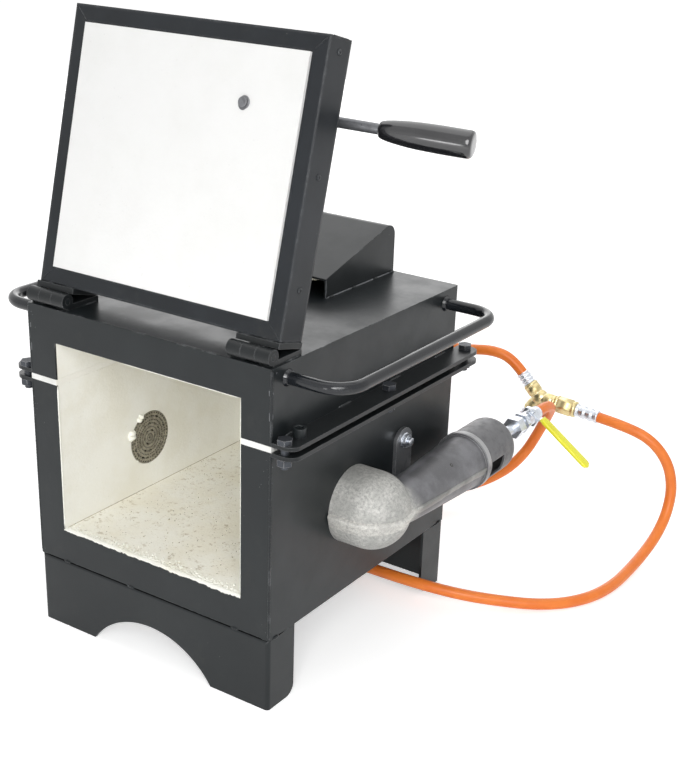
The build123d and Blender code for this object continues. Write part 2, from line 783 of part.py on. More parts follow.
with BuildPart() as door_grip:
    with BuildSketch(rod_plane):
        with BuildLine():
            tip = grip_end + rod_dir * grip_edge
            edge = grip_end + grip_side * grip_r1
            wide = grip_end - rod_dir * grip_band + grip_side * grip_r1
            narrow = grip_start + rod_dir * grip_edge + grip_side * grip_r0
            bore = rod_end + grip_side * door_rod_r
            mouth = grip_start + grip_side * door_rod_r
            shoulder = grip_start + grip_side * (grip_r0 - grip_edge)
            Polyline(*[(p.X, p.Y) for p in (edge, wide, narrow, shoulder, mouth, bore, rod_end, tip)])
            bulge = grip_end + rod_dir * grip_edge * 0.75 + grip_side * (grip_r1 * 0.55)
            ThreePointArc((tip.X, tip.Y), (bulge.X, bulge.Y), (edge.X, edge.Y))
        make_face()
    revolve(axis=Axis(rod_plane.from_local_coords(grip_start),
                      rod_plane.from_local_coords(grip_end) - rod_plane.from_local_coords(grip_start)))
save(door_grip.part, "door_grip")

# Hose fittings
tee_centre = Vector(tee_x, front_y + tee_y, tee_z)
tee_dirs = [Vector(math.cos(math.radians(a)), 0, math.sin(math.radians(a))) for a in tee_angles]

with BuildPart() as y_piece:
    with Locations(tee_centre):
        Sphere(tee_ball_r)
    for leg in tee_dirs:
        with BuildSketch(Plane(origin=tee_centre, z_dir=leg)):
            Circle(tee_leg_r)
        extrude(amount=tee_leg_l)
save(y_piece.part, "y_piece")

with BuildPart() as swivel_nut:
    with BuildSketch(Plane(origin=tee_centre + tee_dirs[0] * tee_leg_l, x_dir=(0, 1, 0), z_dir=tee_dirs[0])):
        RegularPolygon(swivel_af / 2, 6, major_radius=False)
    extrude(amount=swivel_l)
save(swivel_nut.part, "swivel_nut")

left_valve_end = Vector(-tube_x, front_y + valve_end, tube_z)
right_valve_end = Vector(tube_x, front_y + valve_end, tube_z)
back = Vector(0, 1, 0)
with BuildPart() as hose_ferrules:
    for start, way, length in (
        (tee_centre + tee_dirs[0] * (tee_leg_l + swivel_l), tee_dirs[0], ferrule_supply_l),
        (tee_centre + tee_dirs[1] * tee_leg_l, tee_dirs[1], ferrule_l),
        (tee_centre + tee_dirs[2] * tee_leg_l, tee_dirs[2], ferrule_l),
        (right_valve_end, back, valve_ferrule_l),
        (left_valve_end, back, valve_ferrule_l),
    ):
        with BuildSketch(Plane(origin=start, z_dir=way)):
            Circle(ferrule_r)
        extrude(amount=length)
save(hose_ferrules.part, "hose_ferrules")


def route(start, points, end=None):
    """Points of a hose: the start, the hand-laid points seen from the casing
    front, and the end."""
    laid = [Vector(x, front_y + y, z) for x, y, z in points]
    return [start] + laid + ([end] if end else [])


def hose(name, points):
    """A round tube along straight runs joined by tangent arcs."""
    runs = [(b - a).length for a, b in zip(points, points[1:])]
    radii = []
    for i in range(1, len(points) - 1):
        turn = (points[i] - points[i - 1]).get_angle(points[i + 1] - points[i])
        radii.append(0.45 * min(runs[i - 1], runs[i]) / math.tan(math.radians(turn) / 2))
    with BuildPart() as tube:
        with BuildLine() as path:
            FilletPolyline(*points, radius=radii)
        with BuildSketch(Plane(origin=points[0], z_dir=points[1] - points[0])):
            Circle(hose_r)
        sweep()
    length = path.wires()[0].length
    ratio = tube.part.volume / (math.pi * hose_r ** 2 * length)
    print(f"{name}: length {length:.0f}, volume ratio {ratio:.4f}, least radius {min(radii):.0f}, "
          f"runs {min(runs):.0f}-{max(runs):.0f}, radii {[round(r) for r in radii]}")
    save(tube.part, name)


tee_out = tee_leg_l + ferrule_l
left_start = tee_centre + tee_dirs[1] * tee_out
right_start = tee_centre + tee_dirs[2] * tee_out
supply_start = tee_centre + tee_dirs[0] * (tee_leg_l + swivel_l + ferrule_supply_l)

hose("hose_left", [left_start, left_start + tee_dirs[1] * 22] + route(
    Vector(79, front_y + 553, 214),
    [(50, 548, 221), (16, 547, 223), (-18, 551, 219), (-52, 557, 211), (-86, 562, 201),
     (-121, 562, 191), (37 - tube_x, 551, 183), (13 - tube_x, 530, 178), (-tube_x, 501, tube_z)],
    left_valve_end + back * valve_ferrule_l,
))

hose("hose_right", [right_start, right_start + tee_dirs[2] * 24] + route(
    Vector(104, front_y + 568, 83),
    [(86, 582, 62), (62, 595, 44), (32, 603, 31), (-2, 601, 24), (-34, 587, 20), (-57, 560, 18),
     (-62, 527, 18), (-49, 495, 19), (-22, 474, 21), (12, 466, 23), (44, 471, 26), (69, 485, 31),
     (90, 500, 39), (113, 511, 51), (135, 522, 69), (150, 533, 91), (tube_x - 30, 541, 116),
     (tube_x - 19, 538, 141), (tube_x - 6, 521, 163), (tube_x, 495, tube_z)],
    right_valve_end + back * valve_ferrule_l,
))

coil_low = hose_r + floor_gap
coil_high = coil_low + 2 * hose_r + coil_layer_gap
coil_lead = 2 * hose_r
hose("hose_supply", [supply_start, supply_start + tee_dirs[0] * 32] + route(
    Vector(296, front_y + 566, 137),
    [(319, 572, 112), (329, 573, 81), (331, 562, 51), (330, 538, 29), (327, 506, 15), (325, 470, 8.5),
     (324, 432, 6.8), (317, 394, 6.6), (299, 360, 6.6), (272, 333, 7.6), (239, 311, 11),
     (206, 290, 16), (170, 277, 20), (131, 273, 20.5), (92, 276, 18), (54, 281, 14),
     (15, 285, 10), (-24, 286, 7.4), (-63, 282, 6.6), (-102, 274, 6.7), (-141, 268, 6.6),
     (-179, 273, 6.7), (-211, 295, 6.6), (-232, 333, 6.7), (coil_x - coil_out_r, 373, coil_low)],
    Vector(coil_x - coil_out_r, front_y + coil_y - coil_lead, coil_low),
))


def coil_point(x, y, z):
    """A point of the coil, seen from its middle."""
    return Vector(coil_x + x, front_y + coil_y + y, z)


ahead = Vector(0, 1, 0)
coil_turn_r = coil_out_r - coil_pitch / 2
coil_half = (coil_low + coil_high) / 2
with BuildPart() as hose_coil:
    with BuildLine() as loops:
        Line(coil_point(-coil_out_r, -coil_lead, coil_low), coil_point(-coil_out_r, 0, coil_low))
        TangentArc(coil_point(-coil_out_r, 0, coil_low), coil_point(coil_turn_r, 0, coil_low),
                   tangent=ahead)
        TangentArc(coil_point(coil_turn_r, 0, coil_low), coil_point(-coil_in_r, 0, coil_low),
                   tangent=-ahead)
        climb = TangentArc(coil_point(-coil_in_r, 0, coil_low), coil_point(0, coil_in_r, coil_half),
                           tangent=ahead)
        TangentArc(coil_point(0, coil_in_r, coil_half), coil_point(coil_in_r, 0, coil_high),
                   tangent=climb % 1)
        TangentArc(coil_point(coil_in_r, 0, coil_high), coil_point(-coil_turn_r, 0, coil_high),
                   tangent=-ahead)
        TangentArc(coil_point(-coil_turn_r, 0, coil_high), coil_point(coil_out_r, 0, coil_high),
                   tangent=ahead)
        Line(coil_point(coil_out_r, 0, coil_high), coil_point(coil_out_r, -coil_lead, coil_high))
    with BuildSketch(Plane(origin=coil_point(-coil_out_r, -coil_lead, coil_low), z_dir=ahead)):
        Circle(hose_r)
    sweep()
coil_wire = loops.wires()[0]
coil_steps = 400
stations = [coil_wire.position_at(i / coil_steps) for i in range(coil_steps + 1)]
apart = int(coil_steps * 3 * coil_out_r / coil_wire.length)
least = min((a - b).length for i, a in enumerate(stations) for b in stations[i + apart:])
print(f"hose_coil: length {coil_wire.length:.0f}, least gap {least - 2 * hose_r:.2f}, volume ratio "
      f"{hose_coil.part.volume / (math.pi * hose_r ** 2 * coil_wire.length):.4f}")
save(hose_coil.part, "hose_coil")

connector_plane = Plane(origin=coil_point(coil_out_r, -coil_lead, coil_high), z_dir=-ahead)
with BuildPart() as gas_connector:
    with BuildSketch(connector_plane):
        Circle(ferrule_r)
    extrude(amount=ferrule_supply_l)
    with BuildSketch(connector_plane.offset(ferrule_supply_l)):
        RegularPolygon(connector_af / 2, 6, major_radius=False)
    extrude(amount=connector_nut_l)
    with BuildSketch(connector_plane.offset(ferrule_supply_l + connector_nut_l)):
        Circle(connector_nose_r)
    extrude(amount=connector_nose_l)
save(gas_connector.part, "gas_connector")

print(f"front_y {front_y:.3f}, hinge y {hinge_line[0]:.3f}, leaf_top {leaf_top:.3f}, arch_r {arch_r:.2f}")
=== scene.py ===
"""Looks of a gas melting furnace: paint, boards, castings, hoses and small trim
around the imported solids, in metres, in the solids' own frame.
"""
import json
import logging
import math
import random
from collections.abc import Callable, Sequence
from dataclasses import dataclass
from enum import Enum

import bmesh
import bpy
from mathutils import Matrix, Vector


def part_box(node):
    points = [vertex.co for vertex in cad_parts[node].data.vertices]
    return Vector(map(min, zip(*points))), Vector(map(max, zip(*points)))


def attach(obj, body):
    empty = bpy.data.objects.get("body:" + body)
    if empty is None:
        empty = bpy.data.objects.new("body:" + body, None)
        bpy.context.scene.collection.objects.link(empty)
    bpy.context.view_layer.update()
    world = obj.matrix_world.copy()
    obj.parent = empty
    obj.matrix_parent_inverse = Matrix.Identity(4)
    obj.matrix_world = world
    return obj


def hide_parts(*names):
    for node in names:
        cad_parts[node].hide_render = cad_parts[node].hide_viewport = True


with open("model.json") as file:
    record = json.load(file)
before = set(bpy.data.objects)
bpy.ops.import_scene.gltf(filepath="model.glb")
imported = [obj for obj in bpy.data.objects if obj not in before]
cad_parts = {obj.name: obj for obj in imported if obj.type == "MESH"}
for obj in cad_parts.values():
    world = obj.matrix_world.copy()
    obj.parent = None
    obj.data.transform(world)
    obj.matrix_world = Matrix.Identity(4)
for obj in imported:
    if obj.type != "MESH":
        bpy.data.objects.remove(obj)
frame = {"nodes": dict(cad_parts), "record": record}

Colour = tuple[float, float, float]
Point = tuple[float, float, float]
Pair = tuple[float, float]
Place = Vector | Point
Mesh = bmesh.types.BMesh
Material = bpy.types.Material
Piece = bpy.types.Object
Socket = bpy.types.NodeSocket
Source = Socket | Colour | float
Wave = Callable[[int, float], float]

log = logging.getLogger("furnace")

FRONT_Y = -0.22625         # front face of the casing
HALF_W = 0.150             # half the casing's width
TUBE_X = 0.190             # axis of each burner tube
TUBE_Z = 0.1755
SIDES = ((1, "right"), (-1, "left"))


class Body(str, Enum):
    """Rigid groups that the pieces ride on."""

    FURNACE = "furnace"
    DOOR = "door"
    LEVER_RIGHT = "lever_right"
    LEVER_LEFT = "lever_left"


class Slot(str, Enum):
    """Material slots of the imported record."""

    PAINT = "casing_paint"
    LINING = "lining_board"
    DOOR_BOARD = "door_board"
    GASKET = "gasket_fibre"
    IRON = "burner_iron"
    ZINC = "zinc_steel"
    BRASS = "brass"
    RUBBER = "hose_rubber"
    YELLOW = "lever_yellow"
    GRIP = "grip_black"
    BOLT = "bolt_steel"


class Op(str, Enum):
    """Arithmetic steps of the finishes."""

    ADD = "ADD"
    SUBTRACT = "SUBTRACT"
    MULTIPLY = "MULTIPLY"
    MAXIMUM = "MAXIMUM"
    LESS_THAN = "LESS_THAN"
    ABSOLUTE = "ABSOLUTE"
    SQRT = "SQRT"
    COSINE = "COSINE"
    ARCTAN2 = "ARCTAN2"


class LampKind(str, Enum):
    """Kinds of lamp in the studio."""

    DISC = "AREA"
    SPOT = "SPOT"
    SUN = "SUN"


class Leg(float, Enum):
    """Legs of the Y-piece, each by its angle from +X towards +Z in degrees."""

    RIGHT = -4.0
    UP_LEFT = 135.0
    DOWN_LEFT = 236.0

    def along(self) -> Vector:
        """Unit direction of the leg."""
        turn = math.radians(self.value)
        return Vector((math.cos(turn), 0.0, math.sin(turn)))


class Shader:
    """A principled material with short calls for its texture nodes."""

    def __init__(self, name: str) -> None:
        """Start an empty material.

        Args:
            name: the material's name.
        """
        self.material = bpy.data.materials.new(name)
        self.material.use_nodes = True
        self.tree = self.material.node_tree
        self.bsdf = next(n for n in self.tree.nodes if n.type == "BSDF_PRINCIPLED")
        self.place = self.tree.nodes.new("ShaderNodeTexCoord").outputs["Object"]

    def link(self, source: Source, target: Socket) -> None:
        """Join an output to an input, or set the input where source is a plain value.

        Args:
            source: an output, a number or a colour.
            target: the input.
        """
        if isinstance(source, Socket):
            self.tree.links.new(source, target)
        elif target.type == "RGBA":
            target.default_value = (*source, 1.0)
        else:
            target.default_value = source

    def set(self, **values: Source) -> None:
        """Set or join the shader's inputs by name, with spaces as underscores."""
        for name, value in values.items():
            self.link(value, self.bsdf.inputs[name.replace("_", " ")])

    def node(self, kind: str, inputs: dict[str | int, Source], **settings: str | int) -> bpy.types.Node:
        """Add a node.

        Args:
            kind: its type.
            inputs: its inputs, by name or number, and what each takes.
            settings: its own settings.

        Returns:
            The node.
        """
        node = self.tree.nodes.new("ShaderNode" + kind)
        for name, value in settings.items():
            setattr(node, name, value)
        for name, value in inputs.items():
            self.link(value, node.inputs[name])
        return node

    def stretch(self, scale: Point) -> Socket:
        """Object coordinates scaled along x, y and z."""
        return self.node("Mapping", {"Vector": self.place, "Scale": scale}).outputs["Vector"]

    def axis(self, name: str) -> Socket:
        """The object coordinate X, Y or Z."""
        return self.node("SeparateXYZ", {0: self.place}).outputs[name]

    def noise(self, scale: float, detail: float = 4.0, rough: float = 0.55, twist: float = 0.0,
              at: Socket | None = None) -> Socket:
        """Fractal noise of so many cells per metre, octaves, weight of the finer ones and distortion."""
        return self.node("TexNoise", {"Scale": scale, "Detail": detail, "Roughness": rough,
                                      "Distortion": twist, "Vector": at or self.place}).outputs["Fac"]

    def cells(self, scale: float) -> Socket:
        """Distance to the nearest point of a pattern with so many cells per metre."""
        return self.node("TexVoronoi", {"Scale": scale, "Vector": self.place}).outputs["Distance"]

    def span(self, value: Source, low: float, high: float, to_low: float = 0.0,
             to_high: float = 1.0) -> Socket:
        """Map the range low to high onto to_low to to_high, smoothly and clamped."""
        return self.node("MapRange", {"Value": value, "From Min": low, "From Max": high, "To Min": to_low,
                                      "To Max": to_high}, interpolation_type="SMOOTHSTEP").outputs["Result"]

    def math(self, step: Op, a: Source, b: Source = 0.0) -> Socket:
        """One arithmetic step on one or two values."""
        return self.node("Math", {0: a, 1: b}, operation=step.value).outputs[0]

    def times(self, a: Source, b: Source) -> Socket:
        """Product of two values."""
        return self.math(Op.MULTIPLY, a, b)

    def mix(self, factor: Source, a: Source, b: Source) -> Socket:
        """Blend two colours.

        Args:
            factor: 0 for the first and 1 for the second.
            a: the first colour.
            b: the second colour.

        Returns:
            The blend.
        """
        node = self.node("Mix", {0: factor}, data_type="RGBA")
        for value, target in zip((a, b), [s for s in node.inputs if s.type == "RGBA"]):
            self.link(value, target)
        return next(s for s in node.outputs if s.type == "RGBA")

    def over(self, colour: Source, top: Source, mask: Source, share: float) -> Socket:
        """Lay a colour on another one where a mask shows, by a share."""
        return self.mix(self.times(mask, share), colour, top)

    def bump(self, height: Socket, depth: float, strength: float, below: Socket) -> Socket:
        """Relief on other normals, from a height between 0 and 1, its depth in metres and its strength."""
        return self.node("Bump", {"Strength": strength, "Distance": depth, "Height": height,
                                  "Normal": below}).outputs["Normal"]

    def soft_edges(self, radius: float) -> Socket:
        """Normals rounded over edges by a radius in metres."""
        return self.node("Bevel", {"Radius": radius}, samples=4).outputs["Normal"]

    def near_edge(self, radius: float) -> Socket:
        """How near a sharp edge a point is.

        Args:
            radius: reach in metres.

        Returns:
            The share, 0 away from edges.
        """
        flat = self.node("NewGeometry", {}).outputs["Normal"]
        dot = self.node("VectorMath", {0: self.soft_edges(radius), 1: flat}, operation="DOT_PRODUCT")
        return self.span(dot.outputs["Value"], 0.999, 0.93)


@dataclass(frozen=True)
class Paint:
    """Satin stove paint on sheet steel, smudged, dusty and lightened along its edges: rubbed there in
    patches, and by a steady share that on the door frame is a painted highlight.
    """

    name: str = "charcoal_paint"
    colour: Colour = (0.0095, 0.0122, 0.0136)
    faded: Colour = (0.0160, 0.0192, 0.0208)
    bare: Colour = (0.20, 0.21, 0.22)
    roughness: float = 0.33
    sheen: float = 0.32
    edge_r: float = 0.0009
    wear: float = 0.7
    even_wear_and_highlight: float = 0.0
    smudge: Colour = (0.030, 0.031, 0.030)
    dust: Colour = (0.16, 0.16, 0.15)
    grain: float = 0.00004

    def build(self) -> Material:
        """Make the material.

        Returns:
            The material.
        """
        s = Shader(self.name)
        handled = s.noise(26.0, 6.0, 0.65)
        colour = s.mix(s.span(s.noise(7.0, 5.0, 0.6), 0.36, 0.68), self.colour, self.faded)
        colour = s.over(colour, self.smudge, s.span(handled, 0.56, 0.72), 0.35)
        dust = s.times(s.span(s.cells(95.0), 0.060, 0.030), s.span(s.noise(17.0), 0.56, 0.60))
        colour = s.over(colour, self.dust, dust, 0.5)
        # Edges lightened towards the bare colour: in patches as wear, and by a steady share, which on the
        # door frame is a painted highlight of its rounded edges.
        patches = s.span(s.noise(70.0, 6.0, 0.75), 0.50, 0.62, self.even_wear_and_highlight, 1.0)
        colour = s.over(colour, self.bare, s.times(s.near_edge(self.edge_r + 0.0007), patches), self.wear)
        s.set(Base_Color=colour, Specular_IOR_Level=self.sheen,
              Roughness=s.span(handled, 0.30, 0.70, self.roughness - 0.05, self.roughness + 0.08),
              Normal=s.bump(s.noise(620.0, 3.0, 0.7), self.grain, 0.5, s.soft_edges(self.edge_r)))
        return s.material


@dataclass(frozen=True)
class Board:
    """Ceramic fibre board, pressed flat, with specks and shallow pits."""

    name: str
    colour: Colour
    stain: Colour
    speck: Colour = (0.16, 0.14, 0.10)
    speck_share: float = 0.35
    pit_depth: float = 0.0003
    flecks: float = 0.0
    fleck: Colour = (0.42, 0.34, 0.20)
    inner_x: float = 0.0
    inner: Colour = (0.90, 0.885, 0.82)
    edge_r: float = 0.0008

    def build(self) -> Material:
        """Make the material.

        Returns:
            The material.
        """
        s = Shader(self.name)
        fibres = s.noise(260.0, 6.0, 0.75, 0.8)
        colour = s.mix(s.span(s.noise(14.0, 5.0, 0.6), 0.40, 0.68), self.colour, self.stain)
        colour = s.over(colour, self.stain, s.span(fibres, 0.55, 0.30), 0.18)
        more = 0.3 * self.speck_share
        keep = s.span(s.noise(60.0, 3.0), 0.60 - more, 0.66 - more)
        big = s.times(s.span(s.cells(210.0), 0.20, 0.12), keep)
        fine = s.times(s.span(s.cells(560.0), 0.24, 0.14), keep)
        colour = s.over(colour, self.speck, s.math(Op.MAXIMUM, big, s.times(fine, 0.7)), self.speck_share)
        if self.inner_x:
            within = s.math(Op.LESS_THAN, s.math(Op.ABSOLUTE, s.axis("X")), self.inner_x)
            colour = s.mix(within, colour, self.inner)
        if self.flecks:
            area = s.span(s.noise(11.0, 3.0), 0.36, 0.60, 0.25, 1.0)
            husks = s.span(s.noise(135.0, 5.0, 0.75), 0.560, 0.65)
            colour = s.over(colour, self.fleck, s.times(husks, area), self.flecks)
        relief = s.bump(fibres, self.pit_depth, 0.5, s.soft_edges(self.edge_r))
        s.set(Base_Color=colour, Roughness=0.92, Specular_IOR_Level=0.25,
              Normal=s.bump(s.cells(330.0), self.pit_depth, 0.35, relief))
        return s.material


@dataclass(frozen=True)
class Casting:
    """Sand-cast burner: a coarse pale head, a smoother grey tube and a rim lightened as rubbed metal and as a
    painted highlight.
    """

    name: str = "burner_casting"
    head: Colour = (0.62, 0.615, 0.585)
    head_dark: Colour = (0.33, 0.33, 0.315)
    tube: Colour = (0.215, 0.215, 0.228)
    tube_dark: Colour = (0.135, 0.135, 0.142)
    rim: Colour = (0.62, 0.62, 0.62)
    head_end_y: float = -0.066
    head_fade: float = 0.009
    rim_y: float = 0.0645
    grain: float = 0.0006
    edge_r: float = 0.0012

    def build(self) -> Material:
        """Make the material.

        Returns:
            The material.
        """
        s = Shader(self.name)
        coarse = s.noise(330.0, 8.0, 0.8)
        fine = s.noise(1300.0, 3.0, 0.6)
        clouds = s.noise(32.0, 4.0)
        along = s.axis("Y")
        ragged = s.math(Op.ADD, along, s.span(clouds, 0.3, 0.7, -0.005, 0.005))
        on_head = s.span(ragged, self.head_end_y + self.head_fade, self.head_end_y - self.head_fade)
        head = s.mix(s.span(coarse, 0.34, 0.62), self.head_dark, self.head)
        head = s.over(head, self.head_dark, s.span(clouds, 0.42, 0.66), 0.55)
        tube = s.mix(s.span(clouds, 0.38, 0.66), self.tube_dark, self.tube)
        tube = s.over(tube, self.head_dark, s.span(fine, 0.58, 0.75), 0.5)
        # Lighter ring where the tube ends: rubbed metal and a painted highlight.
        rim_rub_and_highlight = s.times(s.span(along, self.rim_y - 0.001, self.rim_y + 0.0005), s.span(clouds, 0.3, 0.5))
        colour = s.over(s.mix(on_head, tube, head), self.rim, rim_rub_and_highlight, 0.55)
        colour = s.over(colour, self.rim, s.near_edge(self.edge_r), 0.45)
        height = s.times(coarse, s.span(on_head, 0.0, 1.0, 0.25, 1.0))
        relief = s.bump(height, self.grain, 0.9, s.soft_edges(self.edge_r))
        s.set(Base_Color=colour, Metallic=0.35, Roughness=s.span(on_head, 0.0, 1.0, 0.42, 0.62),
              Normal=s.bump(fine, self.grain * 0.12, 0.5, relief))
        return s.material


@dataclass(frozen=True)
class RingedIron:
    """Burner disc with close rings of small ports: near-black in the ports as painted shade with some
    sooting, lighter on the land between, partly as a painted highlight.
    """

    name: str = "burner_disc"
    # Near-black in the ports: painted shade in the holes, partly sooted; the land's lighter colour is partly
    # a painted highlight of the rings.
    port_shade_and_soot: Colour = (0.030, 0.026, 0.018)
    land: Colour = (0.36, 0.335, 0.26)
    grime: Colour = (0.12, 0.105, 0.075)
    middle: Pair = (-0.09145, 0.1748)
    ring_step: float = 0.0040
    spokes: float = 44.0
    port_depth: float = 0.0006

    def build(self) -> Material:
        """Make the material.

        Returns:
            The material.
        """
        s = Shader(self.name)
        y = s.math(Op.SUBTRACT, s.axis("Y"), self.middle[0])
        z = s.math(Op.SUBTRACT, s.axis("Z"), self.middle[1])
        reach = s.math(Op.SQRT, s.math(Op.ADD, s.times(y, y), s.times(z, z)))
        ring = s.math(Op.COSINE, s.times(reach, 2 * math.pi / self.ring_step))
        spoke = s.math(Op.COSINE, s.times(s.math(Op.ARCTAN2, z, y), self.spokes))
        ports = s.span(s.times(ring, s.span(spoke, -0.9, 0.5)), 0.05, 0.75)
        grime = s.span(s.noise(150.0, 5.0, 0.7), 0.35, 0.65, 0.0, 0.55)
        colour = s.over(s.mix(grime, self.land, self.grime), self.port_shade_and_soot, ports, 0.92)
        land = s.math(Op.SUBTRACT, 1.0, ports)
        s.set(Base_Color=colour, Metallic=0.3, Roughness=s.span(grime, 0.0, 0.55, 0.5, 0.75),
              Normal=s.bump(land, self.port_depth, 0.7, s.soft_edges(0.0006)))
        return s.material


@dataclass(frozen=True)
class Metal:
    """Plain or plated metal with fine turning marks, grime and rubbed edges."""

    name: str
    colour: Colour
    grime: Colour
    roughness: float = 0.30
    metallic: float = 1.0
    scratch: float = 0.00003
    bright: Colour = (0.9, 0.9, 0.9)

    def build(self) -> Material:
        """Make the material.

        Returns:
            The material.
        """
        s = Shader(self.name)
        clouds = s.noise(120.0, 5.0, 0.65)
        marks = s.noise(900.0, 2.0, 0.5, at=s.stretch((1.0, 0.12, 1.0)))
        colour = s.over(self.colour, self.grime, s.span(clouds, 0.48, 0.72), 0.6)
        colour = s.over(colour, self.bright, s.near_edge(0.0006), 0.35)
        s.set(Base_Color=colour, Metallic=self.metallic,
              Roughness=s.span(clouds, 0.3, 0.7, self.roughness - 0.05, self.roughness + 0.15),
              Normal=s.bump(marks, self.scratch, 0.7, s.soft_edges(0.0005)))
        return s.material


@dataclass(frozen=True)
class Polymer:
    """Rubber or plastic with a faint moulded skin and lint."""

    name: str
    colour: Colour
    shade: Colour
    roughness: float = 0.35
    coat: float = 0.0
    skin: float = 0.00004
    lint: Colour = (0.5, 0.48, 0.45)

    def build(self) -> Material:
        """Make the material.

        Returns:
            The material.
        """
        s = Shader(self.name)
        clouds = s.noise(35.0, 4.0, 0.6)
        skin = s.noise(700.0, 3.0, 0.6)
        lint = s.times(s.span(s.cells(420.0), 0.09, 0.05), s.span(clouds, 0.50, 0.60))
        colour = s.mix(s.span(clouds, 0.36, 0.68), self.colour, self.shade)
        s.set(Base_Color=s.over(colour, self.lint, lint, 0.25), Coat_Weight=self.coat, Coat_Roughness=0.08,
              Roughness=s.span(skin, 0.3, 0.7, self.roughness - 0.06, self.roughness + 0.10),
              Normal=s.bump(skin, self.skin, 0.6, s.soft_edges(0.0006)))
        return s.material


def linked(name: str, data: bpy.types.ID) -> Piece:
    """Put a new object into the scene.

    Args:
        name: its name.
        data: its mesh, curve, lamp or camera.

    Returns:
        The object.
    """
    piece = bpy.data.objects.new(name, data)
    bpy.context.scene.collection.objects.link(piece)
    return piece


def mesh_object(name: str, bm: Mesh, finish: Material, smooth: bool = True) -> Piece:
    """Turn a mesh into an object.

    Args:
        name: the object's name.
        bm: its mesh, freed afterwards.
        finish: its material.
        smooth: shade its faces smooth.

    Returns:
        The object.
    """
    bmesh.ops.recalc_face_normals(bm, faces=bm.faces)
    mesh = bpy.data.meshes.new(name)
    bm.to_mesh(mesh)
    bm.free()
    mesh.materials.append(finish)
    mesh.polygons.foreach_set("use_smooth", [smooth] * len(mesh.polygons))
    return linked(name, mesh)


def placed(piece: Piece, slot: Slot, body: Body = Body.FURNACE, *replaced: str) -> Piece:
    """Let a piece ride on its body, and say what it is.

    Args:
        piece: the piece.
        slot: its material slot; not used.
        body: the group it moves with.
        replaced: the solids it stands for.

    Returns:
        The piece.
    """
    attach(piece, body.value)
    if replaced:
        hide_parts(*replaced)
    log.info("piece %s on %s", piece.name, body.value)
    return piece


def trim(name: str, bm: Mesh, finish: Material, slot: Slot, body: Body = Body.FURNACE,
         *replaced: str) -> Piece:
    """Make a mesh a named piece with its finish and body, and hide the solids it stands for."""
    return placed(mesh_object(name, bm, finish), slot, body, *replaced)


def skin(bm: Mesh, rows: Sequence[Sequence[bmesh.types.BMVert]], closed: bool = True) -> None:
    """Join rows of points with faces.

    Args:
        bm: the mesh.
        rows: the rows, all equally long.
        closed: close each row into a ring, and cap the first and the last.
    """
    count = len(rows[0])
    for a, b in zip(rows, rows[1:]):
        for k in range(count if closed else count - 1):
            after = (k + 1) % count
            bm.faces.new((a[k], a[after], b[after], b[k]))
    if closed:
        bm.faces.new(rows[0][::-1])
        bm.faces.new(rows[-1])


def round_wave(ring: int, angle: float) -> float:
    """Factor of a plain round ring's radius."""
    return 1.0


def turned(bm: Mesh, start: Place, along: Place, profile: Sequence[Pair], sides: int = 40,
           wave: Wave = round_wave) -> None:
    """Add a turned form to a mesh.

    Args:
        bm: the mesh.
        start: where its axis starts.
        along: direction of its axis.
        profile: distance along the axis and radius of each ring.
        sides: points in each ring.
        wave: factor of the radius for a ring's number and an angle.
    """
    start = Vector(start)
    axes = Vector(along).normalized().to_track_quat("Z", "Y").to_matrix()
    rings = []
    for i, (reach, radius) in enumerate(profile):
        ring = []
        for k in range(sides):
            angle = 2 * math.pi * k / sides
            r = max(radius, 1e-6) * wave(i, angle)
            point = Vector((r * math.cos(angle), r * math.sin(angle), reach))
            ring.append(bm.verts.new(start + axes @ point))
        rings.append(ring)
    skin(bm, rings)


def bead(bm: Mesh, start: Place, end: Place, radius: float, rng: random.Random,
         pitch: float = 0.0028) -> None:
    """Add a weld bead of overlapping ripples between two points.

    Args:
        bm: the mesh.
        start: one end.
        end: the other end.
        radius: mean radius.
        rng: seeded random numbers.
        pitch: length of one ripple.
    """
    start, end = Vector(start), Vector(end)
    length, parts = (end - start).length, 4
    steps = max(2 * parts, int(length / pitch) * parts)
    profile = []
    for i in range(steps + 1):
        t = i / steps
        closing = min(1.0, t * steps / parts, (1 - t) * steps / parts)
        ripple = 0.88 + 0.16 * (1 - (i % parts) / parts) + rng.uniform(-0.04, 0.04)
        profile.append((length * t, radius * ripple * (0.25 + 0.75 * closing)))
    turned(bm, start, end - start, profile, 10)


def seen_rays(tree: bpy.types.NodeTree) -> Socket:
    """A switch that is 1 for what the camera, a reflection or glass shows directly.

    Args:
        tree: the node tree to put it in.

    Returns:
        The switch.
    """
    light_path = tree.nodes.new("ShaderNodeLightPath")
    total = light_path.outputs["Is Camera Ray"]
    for name in ("Is Glossy Ray", "Is Transmission Ray"):
        either = tree.nodes.new("ShaderNodeMath")
        either.operation = Op.MAXIMUM.value
        tree.links.new(total, either.inputs[0])
        tree.links.new(light_path.outputs[name], either.inputs[1])
        total = either.outputs[0]
    return total


def aimed(place: Place, aim: Place) -> Matrix:
    """Pose of a lamp at one point that shines at another."""
    turn = (Vector(aim) - Vector(place)).to_track_quat("-Z", "Y")
    return Matrix.Translation(place) @ turn.to_matrix().to_4x4()


